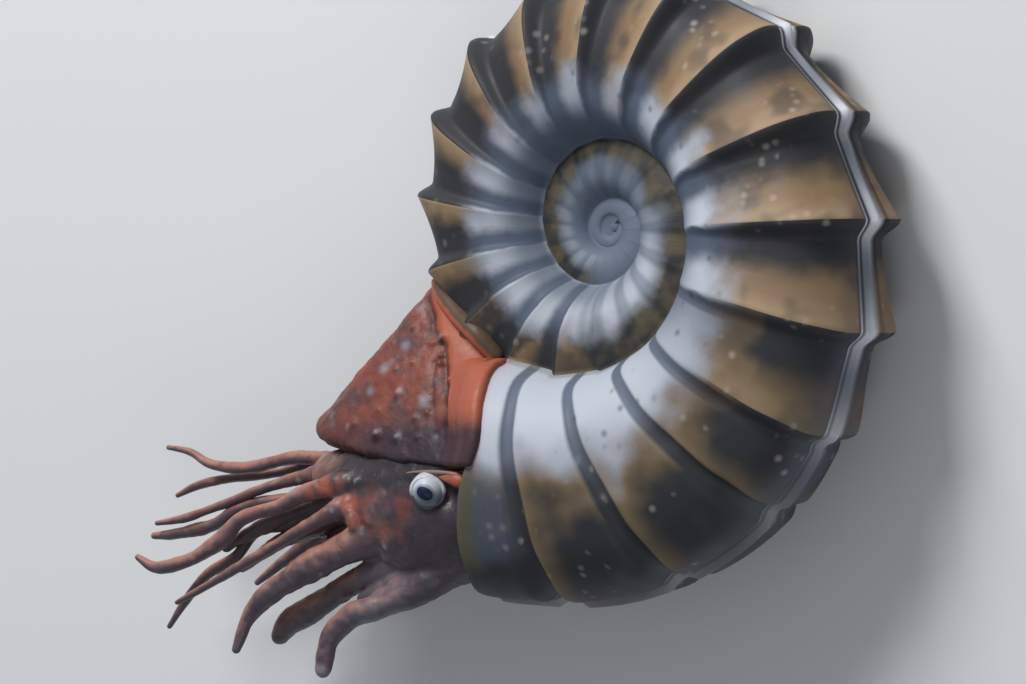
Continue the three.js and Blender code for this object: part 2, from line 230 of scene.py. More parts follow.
# %% Sockets that can be added and multiplied
class Flow:
    """One socket of a finish, on which sums are written as on a number."""

    def __init__(self, finish, socket):
        self.finish = finish
        self.socket = socket

    def sum(self, operation, *values):
        return self.finish.node("ShaderNodeMath", {"operation": operation}, values)

    def __add__(self, other):
        return self.sum("ADD", self, other)

    __radd__ = __add__

    def __sub__(self, other):
        return self.sum("SUBTRACT", self, other)

    def __rsub__(self, other):
        return self.sum("SUBTRACT", other, self)

    def __mul__(self, other):
        return self.sum("MULTIPLY", self, other)

    __rmul__ = __mul__

    def __mod__(self, other):
        return self.sum("FLOORED_MODULO", self, other)

    def __or__(self, other):
        return self.sum("MAXIMUM", self, other)

    def other(self, output):
        """Another output of the same node."""
        return Flow(self.finish, self.socket.node.outputs[output])

    def wave(self):
        """1 at each whole number and -1 halfway between two."""
        return self.sum("COSINE", self * (2 * math.pi))

    def ramp(self, start, end):
        """0 before start, 1 after end and a soft change between; start may be the larger."""
        inputs = {"Value": self, "From Min": start, "From Max": end}
        return self.finish.node("ShaderNodeMapRange", {"interpolation_type": "SMOOTHSTEP"}, inputs)

    def band(self, start, end, edge):
        """1 between start and end, and 0 outside, with soft edges."""
        return self.ramp(start - edge, start + edge) * self.ramp(end + edge, end - edge)


print("a sum of sockets is written with +, -, *, % and |, which is the larger of two")

# %% [markdown]
# ## A finish and the nodes it needs
# A finish is a material and one way to add any node to it. A few nodes come up again and again,
# so each has a short method: a point's place, soft noise, round spots, a blend of two colours,
# and coats of colour laid over each other.

# %% A finish and its nodes
class Finish:
    """A material with its surface shader, and one way to add any node to it."""

    def __init__(self, name):
        self.paint = bpy.data.materials.new(name)
        self.paint.use_nodes = True
        self.tree = self.paint.node_tree
        self.surface = self.tree.nodes["Principled BSDF"]

    def node(self, kind, settings=None, inputs=(), output=0):
        made = self.tree.nodes.new(kind)
        for name, value in (settings or {}).items():
            setattr(made, name, value)
        for key, value in inputs.items() if isinstance(inputs, dict) else enumerate(inputs):
            if isinstance(value, Flow):
                self.tree.links.new(value.socket, made.inputs[key])
            else:
                made.inputs[key].default_value = value
        return Flow(self, made.outputs[output])

    def place(self):
        """Where a point is in the shell's own frame, in mm."""
        spot = self.node("ShaderNodeTexCoord", output="Object")
        frame_values = {
            "Vector": spot,
            "Location": to_row.translation,
            "Rotation": lean.to_euler(),
            "Scale": (MM, MM, MM),
        }
        return self.node("ShaderNodeMapping", {"vector_type": "TEXTURE"}, frame_values)

    def parts(self, vector):
        """The first two numbers of a vector, such as the x and y of a place."""
        first = self.node("ShaderNodeSeparateXYZ", None, (vector,))
        return first, first.other("Y")

    def marks(self):
        """The four masks that a fleshy piece carries at its points."""
        colour = self.node("ShaderNodeAttribute", {"attribute_name": "marks"})
        red = self.node("ShaderNodeSeparateColor", None, (colour,))
        return red, red.other("Green"), red.other("Blue"), colour.other("Alpha")

    def noise(self, place, size, detail=3):
        """Soft noise whose blotches are about size mm across, from 0 to 1."""
        inputs = {"Vector": place, "Scale": 1 / size, "Detail": detail}
        return self.node("ShaderNodeTexNoise", None, inputs)

    def spots(self, place, apart, radius, share):
        """Round spots about apart mm from each other, of which only a share is kept."""
        inputs = {"Vector": place, "Scale": 1 / apart, "Randomness": 0.85}
        distance = self.node("ShaderNodeTexVoronoi", None, inputs)
        red = self.node("ShaderNodeSeparateColor", None, (distance.other("Color"),))
        edge = radius / apart
        return distance.ramp(edge, edge * 0.1) * red.ramp(share, share - 0.02)

    def blend(self, first, second, share):
        """A colour that goes from first to second as share goes from 0 to 1."""
        sockets = {0: share, 6: first, 7: second}
        return self.node("ShaderNodeMix", {"data_type": "RGBA"}, sockets, output=2)

    def layers(self, colour, *coats):
        """A colour with coats over it, each given as its own colour and share."""
        for coat, share in coats:
            colour = self.blend(colour, coat, share)
        return colour

    def feed(self, name, value):
        if isinstance(value, Flow):
            self.tree.links.new(value.socket, self.surface.inputs[name])
        else:
            self.surface.inputs[name].default_value = value

    def bump(self, height, depth):
        """height is in mm and depth scales it."""
        inputs = {"Height": height, "Distance": depth * MM, "Strength": 1}
        self.feed("Normal", self.node("ShaderNodeBump", None, inputs))


def tone(red, green, blue):
    """A colour given as a painter's 0 to 255 values, as the linear light that a shader needs."""
    parts = np.array((red, green, blue)) / 255
    light = np.where(parts < 0.04, parts / 12.92, ((parts + 0.055) / 1.055) ** 2.4)
    return (*light.tolist(), 1)


print("a mid grey is", round(tone(128, 128, 128)[0], 3), "in linear light")

# %% [markdown]
# ## The coil
# A whorl keeps its shape while it grows, so the whole shell is one section swept round the axis
# while its size grows with the angle. The section is drawn by a few points on a smooth line:
# keel, furrow, shoulder, flank and the wall down to the seam, where the whorl sits on the one
# before. Ribs lift the section in a rhythm of seventeen to the turn.

# %% Sizes of the coil, in mm and turns
KEEL_RADIUS = 118
GROWTH = 0.6846
GROWTH_SLOWING = 0.0862
MOUTH_ANGLE = math.radians(-105)
RIBS_PER_TURN = 17
FIRST_CREST = -0.2955
RINGS_PER_TURN = 68
LIP_TURN = FIRST_CREST + 24 / RINGS_PER_TURN
CENTRE_TURN = FIRST_CREST - 212 / RINGS_PER_TURN
STEPS_PER_TURN = 24 * RIBS_PER_TURN
STEPS_PER_SPAN = 4
HALF_SECTION = (
    # out, side, rib, lag: keel, furrow, shoulders and flank, as shares of the keel's radius
    (1.0, 0.0, 0.05, 1.0),
    (0.978, 0.026, 0.045, 1.0),
    (0.984, 0.062, 0.055, 1.0),
    (0.962, 0.125, 0.07, 1.0),
    (0.905, 0.192, 0.068, 1.0),
    (0.835, 0.235, 0.055, 0.93),
    (0.72, 0.268, 0.04, 0.82),
    (0.6, 0.278, 0.035, 0.62),
)
WALLS = (
    # along, up, rib, lag: from the flank down to the seam
    (0.46, 0.86, 0.018, 0.42),
    (0.79, 0.48, 0.006, 0.12),
)
SHOULDER, FLANK, SEAM = 5, 7, 10
SECTION_MIDDLE = 0.69
BUTTON_SHARE = 0.3


def keel_radius(turn):
    return KEEL_RADIUS * np.exp(GROWTH * turn - GROWTH_SLOWING * turn**2)


def smooth_step(value, start, end):
    share = np.clip((value - start) / (end - start), 0, 1)
    return share * share * (3 - 2 * share)


def mix(first, second, share):
    return first + (second - first) * share


across_lip = keel_radius(LIP_TURN) + keel_radius(LIP_TURN - 0.5)
print("the shell is", round(across_lip), "mm across near the lip")

# %% [markdown]
# ## Ribs
# A rib rises slowly towards its crest and falls steeply on the mouth side into a hollow, so
# light from one side draws hard edges. In the last half whorl the ribs turn into broad flat
# bands with a narrow furrow between them, and they slant back towards the keel. A rib's phase
# is whole at each crest, and it is also the texture coordinate that the colours follow.

# %% Height of the ribs
SLANT = 0.05
SLANT_START = -0.36
SLANT_FULL = -0.09
SEAM_SHIFT = 0.65
DROP = 0.2
HOLLOW_END = 0.3
BAND_HEIGHT = 0.4
INNER_HEIGHT = 0.17
FURROW_PLACES = (0.15, -0.05)
FURROW_DRIFT = (-0.155, -0.11)
FURROW_WIDTHS = (0.035, 0.135)
RIB_CURVE = 1.9
# turns over which a change happens
RIBS_TO_BANDS = (-0.2, -0.06)
BANDS_SINK = (-0.3, -0.08)
INNER_END = (-1.15, -0.95)
RIBS_GROW = (-3.2, -1.9)


def lag_at(turn):
    share = np.clip((turn - SLANT_START) / (SLANT_FULL - SLANT_START), 0, 1)
    return SLANT * share**2


def phase_at(turn):
    return (turn - SEAM_SHIFT * lag_at(turn) - FIRST_CREST) * RIBS_PER_TURN


def rib_height(turn):
    past_crest = phase_at(turn) % 1
    falling = 1 - smooth_step(past_crest, 0, DROP)
    rising = np.clip((past_crest - HOLLOW_END) / (1 - HOLLOW_END), 0, 1) ** RIB_CURVE
    rib = np.maximum(falling, rising)
    furrow_place = mix(*FURROW_PLACES, smooth_step(turn, *FURROW_DRIFT))
    from_furrow = abs((phase_at(turn) - furrow_place + 0.5) % 1 - 0.5)
    furrow = 1 - smooth_step(from_furrow, *FURROW_WIDTHS)
    height = mix(rib, 1 - furrow, smooth_step(turn, *RIBS_TO_BANDS))
    grown = mix(INNER_HEIGHT, 1, smooth_step(turn, *INNER_END)) * smooth_step(turn, *RIBS_GROW)
    return height * grown * mix(1, BAND_HEIGHT, smooth_step(turn, *BANDS_SINK))


print("a rib is", round(2 * math.pi * keel_radius(-0.3) / RIBS_PER_TURN, 1), "mm wide at the keel")

# %% [markdown]
# ## From drawn points to a smooth section
# Each drawn point has a distance from the axis, a half width and a place along the coil. A
# spline that passes through all of them gives the points between. The section is mirrored at
# the keel, and its last point, the seam, is the shoulder of the whorl before.

# %% Lay the section's drawn points
LIP_LEADS = (0.0065, 0.0065, 0.0065, 0.0065, 0.0065, 0.0065, 0.005, -0.003, 0.003, 0.006)
LIP_FLARE = 1.5
LIP_START = 0.022
FLARED = 6


def raised_point(out, side, radius, height):
    """A drawn point at its size, moved away from the section's middle by height."""
    raised = height / np.hypot(out - SECTION_MIDDLE, side)
    return out * radius + (out - SECTION_MIDDLE) * raised, side * (radius + raised)


def drawn_points(turn, lift):
    """Distance, half width and place along the coil of each drawn point: arrays of turn x point."""
    lag = lag_at(turn)
    height = rib_height(turn)
    opening = smooth_step(turn, LIP_TURN - LIP_START, LIP_TURN) ** 2
    before = keel_radius(turn - 1) / keel_radius(turn)
    shoulder = HALF_SECTION[SHOULDER]
    flank = HALF_SECTION[FLANK]
    rows = []
    for number, (out, side, rib, slant) in enumerate(HALF_SECTION + WALLS):
        if number > FLANK:
            out = mix(flank[0], shoulder[0] * before, out)
            side = mix(shoulder[1] * before, flank[1], side)
        flared = LIP_FLARE * opening * (number <= FLARED)
        spot = turn - slant * lag + LIP_LEADS[number] * opening
        radius = keel_radius(spot)
        rows.append((*raised_point(out, side, radius, rib * radius * height + lift + flared), spot))
    rows.append(seam_points(turn, lift))
    return np.stack([np.stack([part + 0 * turn for part in row], -1) for row in rows], 1)


def seam_points(turn, lift):
    """The seam lies on the shoulder of the whorl before, or in the middle where there is none."""
    out, side, rib, _ = HALF_SECTION[SHOULDER]
    behind = turn - 1
    radius = keel_radius(behind)
    distance, width = raised_point(out, side, radius, rib * radius * rib_height(behind) - lift)
    grown = behind > CENTRE_TURN - 1e-9
    button = BUTTON_SHARE * keel_radius(CENTRE_TURN)
    return np.where(grown, distance, 0), np.where(grown, width, button), turn


def spline_weights(spots, count):
    """Weights that make a smooth line through count points, mirrored at the first one."""
    weights = np.zeros((len(spots), count, 2))
    for line, spot in enumerate(spots):
        first = min(int(spot), count - 2)
        t = spot - first
        parts = (-t + 2 * t**2 - t**3, 2 - 5 * t**2 + 3 * t**3, t + 4 * t**2 - 3 * t**3, t**3 - t**2)
        for offset, part in zip((-1, 0, 1, 2), parts):
            number = first + offset
            if number < 0:
                weights[line, -number] += (part / 2, -part / 2)
            elif number < count:
                weights[line, number] += part / 2
            else:
                weights[line, count - 1] += part
                weights[line, count - 2] -= part / 2
    return weights


def coil_points(turn, lift=0.0, reach=SEAM):
    """Points of the coil: turn x across, which runs from the far seam over the keel to the near one."""
    spots = np.arange(0, reach * STEPS_PER_SPAN + 1) / STEPS_PER_SPAN
    weights = spline_weights(spots, SEAM + 1)
    drawn = drawn_points(turn, lift)
    out = drawn[..., 0] @ weights[..., 0].T
    side = drawn[..., 1] @ weights[..., 1].T
    place = drawn[..., 2] @ weights[..., 0].T
    angle = MOUTH_ANGLE - 2 * math.pi * place
    near = np.stack([out * np.cos(angle), out * np.sin(angle), side], -1)
    far = near[:, :0:-1] * (1, 1, -1)
    return np.concatenate([far, near], 1), np.concatenate([spots[:0:-1], spots])


print("a whorl's section has", 2 * SEAM * STEPS_PER_SPAN, "faces round it")

# %% [markdown]
# ## The shell's skin
# The grid has a row for each step along the coil and a column for each step across it. What
# the next whorl covers is deleted, and the free edges meet the next whorl's seam, where they
# are welded. The lip is thickened by a second sheet, which turns round its edge and lines the
# mouth.

# %% Make the shell
WALL = 2.5
FLOOR_DEPTH = 2 / RINGS_PER_TURN
FLOOR_STEPS = 6
LIP_ROUNDING = 5
LIP_BULGE = 0.12
BULGE_REACH = 0.004


def delete_covered(sheet, turns, spots):
    """Deletes the faces that the next whorl grows over."""
    middle_turn = (turns[:-1] + turns[1:]) / 2
    middle_spot = (spots[:-1] + spots[1:]) / 2
    covered = (middle_turn[:, None] + 1 < LIP_TURN) & (middle_spot[None, :] < SHOULDER)
    bpy.ops.object.mode_set(mode="EDIT")
    bpy.ops.mesh.select_mode(type="FACE")
    bpy.ops.object.mode_set(mode="OBJECT")
    sheet.data.polygons.foreach_set("select", covered.ravel())
    bpy.ops.object.mode_set(mode="EDIT")
    bpy.ops.mesh.delete(type="FACE")
    bpy.ops.object.mode_set(mode="OBJECT")
    print("deleted", covered.sum(), "covered faces of", covered.size)


def growth_pattern(turns, spots):
    """Texture coordinates of the shell: the rib's phase, and the way from the keel to the seam."""
    return np.stack(np.meshgrid(phase_at(turns), spots, indexing="ij"), -1)


def make_coil():
    steps = round((LIP_TURN - CENTRE_TURN) * STEPS_PER_TURN)
    turns = LIP_TURN - np.arange(steps, -1, -1) / STEPS_PER_TURN
    points, spots = coil_points(turns)
    sheet = laid_grid("shell_skin", points, growth_pattern(turns, spots))
    delete_covered(sheet, turns, spots)
    return sheet


def mouth_ring(turn, lift):
    """The mouth's outline: round the last whorl, then back over the shoulder of the one before."""
    turn = np.array([turn])
    outer, spots = coil_points(turn, lift)
    inner, inner_spots = coil_points(turn - 1, -lift, SHOULDER)
    ring = np.concatenate([outer[0], inner[0][::-1][1:]])
    return ring, np.concatenate([spots, inner_spots[1:]])


def make_lining():
    """The lip's edge, the wall inside the mouth, and its floor."""
    edge = mouth_ring(LIP_TURN, 0)[0]
    bulge = (edge - mouth_ring(LIP_TURN - BULGE_REACH, 0)[0]) * LIP_BULGE
    rings = []
    for share in np.linspace(0, 1, LIP_ROUNDING):
        ring, spots = mouth_ring(LIP_TURN, -WALL * (1 - math.cos(math.pi / 2 * share)))
        rings.append(ring + bulge * math.sin(math.pi * share))
    for depth in np.linspace(0, FLOOR_DEPTH, FLOOR_STEPS)[1:]:
        rings.append(mouth_ring(LIP_TURN - depth, -WALL)[0])
    rings.append(np.repeat(rings[-1].mean(0)[None, :], len(spots), 0))
    return laid_grid("lining", np.stack(rings), growth_pattern(np.full(len(rings), LIP_TURN), spots))


coil = join([make_coil(), make_lining()], "shell_skin")
weld(coil)
print("coil and lining have", len(coil.data.vertices), "points")

# %% [markdown]
# ## The first chamber
# Every ammonite began as a round chamber smaller than a millimetre. Here it is a ball, a bit
# flattened, that closes the middle of the coil. It joins the coil without a weld, because the
# two overlap.

# %% Make the first chamber
CHAMBER_PLACE = 0.42
CHAMBER_SIZE = 0.56
CHAMBER_FLATNESS = 0.78


def make_first_chamber():
    radius = keel_radius(CENTRE_TURN)
    angle = MOUTH_ANGLE - 2 * math.pi * CENTRE_TURN
    centre = (CHAMBER_PLACE * radius * math.cos(angle), CHAMBER_PLACE * radius * math.sin(angle), 0)
    size = {"segments": 24, "ring_count": 16, "radius": CHAMBER_SIZE * radius}
    bpy.ops.object.select_all(action="DESELECT")
    bpy.ops.mesh.primitive_uv_sphere_add(location=centre, **size)
    bpy.ops.transform.resize(value=(1, 1, CHAMBER_FLATNESS))
    bpy.ops.object.transform_apply(location=True, rotation=False, scale=True)
    ball = bpy.context.object
    corner = ball.data.uv_layers[0].data
    corner.foreach_set("uv", np.tile((phase_at(CENTRE_TURN), SHOULDER), len(corner)))
    return ball


shell = join([coil, make_first_chamber()], "shell_skin")
print("shell", len(shell.data.vertices), "points")

# %% [markdown]
# ## Where a point lies on the shell
# Two texture coordinates follow the growth of the shell: the rib's phase, which is whole at
# each crest, and the way across, from 0 at the keel to 10 at the seam. The phase also gives the
# turn, which is 0 a little behind the lip and falls by 1 with each whorl inwards. Masks for the
# zones of the shell come from these, and noise bends their edges so that no line looks ruled.

# %% Masks along the coil
TURNS_PER_RIB = 1 / RIBS_PER_TURN
# zones along the coil: start and end in turns, and a soft edge
# the top zones get painted shade, and the bright zone painted light, from where the walls face
TOP_SHADE_ZONE = (-0.66, -0.42, 0.09)
LEFT_ZONE = (-0.95, -0.62, 0.08)
LOWER_ZONE = (-1.04, -0.84, 0.06)
LIT_WALL_ZONE = (-1.26, -1.02, 0.06)
INNER_TOP_SHADE_ZONE = (-1.7, -1.36, 0.08)

look = Finish("shell_finish")
place = look.place()
phase, across = look.parts(look.node("ShaderNodeUVMap", {"uv_map": "UVMap"}))
turn = phase * TURNS_PER_RIB + FIRST_CREST
broad = look.noise(place, 15, 1) - 0.5
fine = look.noise(place, 5) - 0.5
young = turn.ramp(-0.28, -0.13)
old = 1 - young
inner = turn.ramp(-1.0, -1.06)
core = turn.ramp(-1.93, -2.05) | (turn.ramp(-1.5, -1.7) * across.ramp(7.9, 8.7))
top = turn.band(*TOP_SHADE_ZONE)
left = turn.band(*LEFT_ZONE)
lit_wall = turn.band(*LIT_WALL_ZONE)
inward = across + broad * 2.2 + fine * (0.8 - young * 0.5)
bent = phase % 1 + (broad * 0.22 + fine * 0.12) * (1 - young * 0.6)
print("the masks along the coil take", len(look.tree.nodes), "nodes")

# %% [markdown]
# ## Slate and white towards the seam
# The wall near the seam is slate, with white on the slope that rises to each crest. That white is
# partly the shell's own colour and partly a painted highlight where a slope faces the light. At
# the top of the coil the slate is partly painted shade, where the wall faces away from the light.
# The young part is white between its furrows. Further in, the stripes are softer and greyer, with
# painted shade at the top, apart from one bright stretch, which is painted light lower down where
# the wall faces the light.

# %% Masks of the slate and the white
reach = 6.9 + top * 0.3 + left * 0.1 + inner * 0.15 - young * 0.2
pale = (inward - reach).ramp(-0.9, 0.7)
soft = (phase.wave() * 0.5 + broad + 0.5).ramp(0.2, 0.95)
slope = (bent.ramp(0.38, 0.72) | bent.ramp(0.1, 0.0)) * (1 - inner)
# painted light: the inner whorl's stripes are whiter in the stretch where its wall faces the light
slope = slope + (1 - soft * (0.6 - lit_wall * 0.1)) * inner
from_furrow = (phase - mix(*FURROW_PLACES, turn.ramp(-0.165, -0.125)) + 0.5) % 1 - 0.5
furrow = (from_furrow | (0 - from_furrow)).ramp(0.135, 0.07)
lit = (slope * old) | (young * (1 - furrow * 0.9))
# painted shade: less white near the seam, most of all at the top of the coil
seam_slate_and_shade = across.ramp(7.3, 8.9) * (old * (0.72 + top * 0.25)) * (1 - inner * 0.4)
# the white is partly the shell's colour and partly a painted highlight on slopes that face the light
white = pale * lit * (1 - seam_slate_and_shade) * (1 - top * 0.3)
# painted shade on the inner whorl's top, and painted light in its bright stretch
white = white * (1 - inner * (0.6 - lit_wall * 0.55)) * (1 - turn.band(*INNER_TOP_SHADE_ZONE) * 0.6)
print("with the slate and the white", len(look.tree.nodes), "nodes")

# %% [markdown]
# ## Ochre and charcoal
# Outside the slate a rib is ochre on its rising slope, paler just before the crest as a painted
# highlight, and charcoal in the hollow behind its crest, which is partly the shell's own colour
# and partly painted shade. The inner whorls are olive with charcoal blotches.

# %% Masks of the charcoal, and the ochre below it
OCHRE = tone(124, 102, 77)
OCHRE_HIGHLIGHT = tone(150, 127, 100)
OLIVE = tone(88, 81, 62)
CHARCOAL = tone(34, 40, 48)

blotch = look.noise(place, 8, 2).ramp(0.38, 0.6)
# painted shade: the charcoal in each rib's hollow is partly the shell's colour and partly shade
hollow_charcoal_and_shade = (bent - (0.48 + left * 0.2 + young * 0.2)).ramp(0.22, -0.14) * (1 - inner)
hollow_charcoal_and_shade = hollow_charcoal_and_shade + (0.22 + soft * 0.25 + blotch * 0.5) * inner
hollow_charcoal_and_shade = hollow_charcoal_and_shade * (old | inward.ramp(6.3, 5.0))
lower = turn.band(*LOWER_ZONE) * look.noise(place, 10, 2).ramp(0.35, 0.55)
dark = (hollow_charcoal_and_shade | (furrow * young) | (lower * 0.8)) * inward.ramp(0.5, 1.5)
tan = look.layers(
    OCHRE,
    # painted highlight: paler ochre just before each crest
    (OCHRE_HIGHLIGHT, bent.ramp(0.7, 1.0) * (1 - inner)),
    (OLIVE, (young * inward.ramp(6.9, 5.4) * 0.5) | (inner * 0.85)),
    (CHARCOAL, look.noise(place, 11, 1).ramp(0.5, 0.72) * (0.5 - young * 0.25)),
)
print("with the ochre and the charcoal", len(look.tree.nodes), "nodes")

# %% [markdown]
# ## Keel, spots and lip
# The keel is white between two thin dark lines, whiter at each rib as a painted highlight, and
# the young part of it is grey all over. Near the keel the young part gets a bluish painted shade,
# where it faces away from the light. Small pale spots lie in clusters on the flank, and dark ones
# near the seam. The lip has a slate and an olive edge. All of it is laid over the ochre in the
# order of a painter's coats.

# %% Lay the coats of colour
WHITE = tone(174, 180, 190)
SLATE = tone(78, 88, 104)
VENTER_SHADE = tone(84, 87, 95)
CORE_GREY = tone(96, 106, 122)
KEEL_WHITE = tone(212, 216, 224)
DARK_LINE = tone(34, 36, 42)
PALE_SPOT = tone(168, 160, 148)
DARK_SPOT = tone(48, 52, 64)
LIP_PINK = tone(178, 146, 146)
LIP_OLIVE = tone(84, 80, 54)

# painted shade: bluish grey on the young part near the keel, which faces away from the light
venter_shade = turn.ramp(-0.3, -0.16) * inward.ramp(3.9, 1.8) * (1 - turn.ramp(-0.08, 0.0) * 0.5)
flank = across.band(2.0, 6.6, 0.5) * (1 - left * 0.6) * (1 - inner)
clusters = look.noise(place, 22, 1).ramp(0.5, 0.56)
light_dots = look.spots(place, 4.2, 1.9, 0.5) * flank * (1 - white) * clusters
dark_dots = look.spots(place, 6.0, 1.9, 0.35) * across.band(5.4, 8.2, 0.5) * pale * (1 - inner)
# painted highlight: the keel is whiter near each crest and greyer between
keel_highlight = (bent - 0.5) * (bent - 0.5) * 4
keel = look.blend(SLATE, KEEL_WHITE, 0.2 + keel_highlight * 0.8)
colour = look.layers(
    tan,
    # charcoal in the hollows, furrows and lower zone, partly painted shade in the hollows
    (CHARCOAL, dark * 0.93),
    (SLATE, pale),
    (WHITE, white),
    # painted shade on the venter
    (VENTER_SHADE, venter_shade * 0.8),
    (PALE_SPOT, light_dots * 0.5),
    (DARK_SPOT, dark_dots * 0.6),
    (keel, across.ramp(1.7, 1.2) * (0.9 - turn.ramp(-0.22, -0.12) * 0.65)),
    (DARK_LINE, across.band(0.75, 1.05, 0.12) * (0.9 - venter_shade * 0.4)),
    (DARK_LINE, across.band(1.7, 1.95, 0.15) * 0.7 * (1 - venter_shade)),
    (LIP_PINK, turn.ramp(0.014, 0.021) * inward.ramp(6.0, 6.6) * 0.5),
    (SLATE, turn.ramp(-0.006, 0.006) * inward.band(4.2, 6.6, 0.6) * 0.6),
    (LIP_OLIVE, turn.ramp(0.015, 0.022) * inward.band(4.0, 6.4, 0.6) * 0.75),
    (LIP_OLIVE, across.ramp(9.6, 9.9) * young * 0.5),
    (CORE_GREY, core),
)
look.feed("Base Color", colour)
print("with all its coats of colour", len(look.tree.nodes), "nodes")

# %% [markdown]
# ## Growth lines
# A shell grows at its lip by one fine line after another. They are too fine for the grid, so a
# sine of the phase raises them in the finish, together with a little roughness.

# %% Growth lines, and hand over
LINES_PER_RIB = 60
LINE_HEIGHT = 0.02

lines = phase.sum("SINE", phase * LINES_PER_RIB + broad * 8)
look.feed("Roughness", 0.54 + fine * 0.2)
look.feed("Specular IOR Level", 0.22)
look.bump(lines * LINE_HEIGHT + look.noise(place, 1.6) * 0.12 + fine * 0.3, 0.25)
put_in_place(shell, "shell", look.paint)

# %% [markdown]
# ## Lumps and marks on flesh
# Skin is uneven. Noise gives lumps everywhere, and lists of places give the warts and patches
# that the picture shows. The noise is read at the point's own place, so it is the same each
# time. All of it takes the far side for the near side, so the two sides are alike.

# %% Noise and soft masks
def folded(points):
    """The same points, with the far side laid over the near side."""
    return np.concatenate([points[..., :2], abs(points[..., 2:])], -1)


def lumps(points, size, shift=0.0):
    """Noise from -1 to 1 with lumps of about size mm."""
    places = folded(points).reshape(-1, 3) / size + shift
    return np.array([noise.noise(place) for place in places]).reshape(points.shape[:-1])


def blobs(points, centres, shift=(0, 0, 0), size=1.0):
    """Soft round masks, one round each centre of x, y, z, radius and strength."""
    mask = np.zeros(points.shape[:-1])
    for x, y, z, radius, strength in centres:
        offset = folded(points) - (x + shift[0], y + shift[1], z + shift[2])
        distance = np.linalg.norm(offset, axis=-1) / (radius * size)
        mask = np.maximum(mask, strength * np.exp(-(distance**2)))
    return mask


def along_line(points, line):
    """Distance in mm from each point to a line of drawn points, seen from the side."""
    nearest = np.full(points.shape[:-1], 1e9)
    flat = points[..., :2]
    for start, end in zip(line, line[1:]):
        start, step = np.array(start), np.subtract(end, start)
        share = np.clip(((flat - start) @ step) / (step @ step), 0, 1)
        nearest = np.minimum(nearest, np.linalg.norm(flat - start - share[..., None] * step, axis=-1))
    return nearest


print("lumps go from -1 to 1, here", round(lumps(np.array([(3.0, 4, 5)]), 2)[0], 2))

# %% [markdown]
# ## Tubes and other closed bodies
# Rings of points, one after another, make a closed body when each end gets a fan. A tube is
# such a body round a route: a smooth line through given bends, each with its own radius.
# It keeps the bends' corners, because arms and folds are gnarled.

# %% Bodies from rings
TUBE_SIDES = 25
TIP_LENGTH = 1.3
SWELLINGS = ((1, 10, 3), (0.35, 3, 9))


def closed_loft(name, rings):
    """A closed body from rings of points, with a fan over each end."""
    rings = np.array(rings)
    ends = [np.repeat(ring.mean(0)[None], len(ring), 0) for ring in (rings[0], rings[-1])]
    body = laid_grid(name, np.concatenate([ends[0][None], rings, ends[1][None]]))
    weld(body)
    return body


def smooth_route(bends, spacing):
    """A smooth line through the bends, with a point about every spacing mm and all their columns."""
    bends = np.array(bends, float)
    ends = np.concatenate([2 * bends[:1] - bends[1:2], bends, 2 * bends[-1:] - bends[-2:-1]])
    line = []
    for stretch in zip(ends, ends[1:], ends[2:], ends[3:]):
        steps = [(after - before)[:3] for before, after in zip(stretch, stretch[1:])]
        gaps = [np.linalg.norm(step) ** 0.5 for step in steps]
        knots = np.cumsum([0, *gaps])
        count = max(2, round(gaps[1] ** 2 / spacing))
        spots = np.linspace(knots[1], knots[2], count, endpoint=False)[:, None]
        lines = [point[None, :] for point in stretch]
        for starts, stops in ((knots[:3], knots[1:]), (knots[:2], knots[2:]), (knots[1:2], knots[2:3])):
            lines = [
                first + (second - first) * (spots - start) / (stop - start)
                for first, second, start, stop in zip(lines, lines[1:], starts, stops)
            ]
        line.append(lines[0])
    return np.concatenate([*line, bends[-1:]])


def tube(route, sides=TUBE_SIDES, swelling=0.0):
    """Rings round a route of x, y, z and radius. Both ends close in a point, the last one rounded."""
    middle, radius = route[:, :3], route[:, 3]
    ahead = np.gradient(middle, axis=0)
    ahead /= np.linalg.norm(ahead, axis=1, keepdims=True)
    over = np.cross(ahead, (0, 0, 1))
    over /= np.linalg.norm(over, axis=1, keepdims=True)
    up = np.cross(over, ahead)
    steps = np.linalg.norm(np.diff(middle, axis=0), axis=1)
    to_tip = np.concatenate([np.cumsum(steps[::-1])[::-1], [0]]) / (TIP_LENGTH * radius[-1] + 1e-9)
    rounding = np.sqrt(1 - (1 - np.clip(to_tip, 0, 1)) ** 2)
    angle = np.linspace(0, 2 * math.pi, sides)
    ring = np.cos(angle)[None, :, None] * over[:, None] + np.sin(angle)[None, :, None] * up[:, None]
    points = middle[:, None] + ring * (radius * rounding)[:, None, None]
    if swelling:
        rough = sum(strength * lumps(points, *kind) for strength, *kind in SWELLINGS)
        growth = swelling * (radius * rounding)[:, None] * rough
        points = points + ring * growth[..., None]
    return np.concatenate([np.repeat(middle[:1, None], sides, 1), points])


def folds(bends, spacing=0.8):
    """Tubes on both sides, through bends that are given for the near side."""
    made = []
    for side in (1, -1):
        route = smooth_route([(x, y, side * z, radius) for x, y, z, radius in bends], spacing)
        made.append(closed_loft("fold", tube(route)))
    return made


print("a tube has", TUBE_SIDES, "points round it")

# %% [markdown]
# ## Melting bodies into one skin
# Hood and head are lumps in which many forms run into each other. Each form is a simple closed
# body. A voxel remesh melts them into one skin, and smoothing rounds the places where they
# meet. The lumps and warts then move the skin along its own normals.

# %% Melt bodies into one skin
def set_marks(piece, marks):
    """marks are four masks from 0 to 1 at the piece's points, which the finish reads."""
    layer = piece.data.color_attributes.new("marks", "FLOAT_COLOR", "POINT")
    layer.data.foreach_set("color", np.stack(marks, -1).clip(0, 1).ravel())


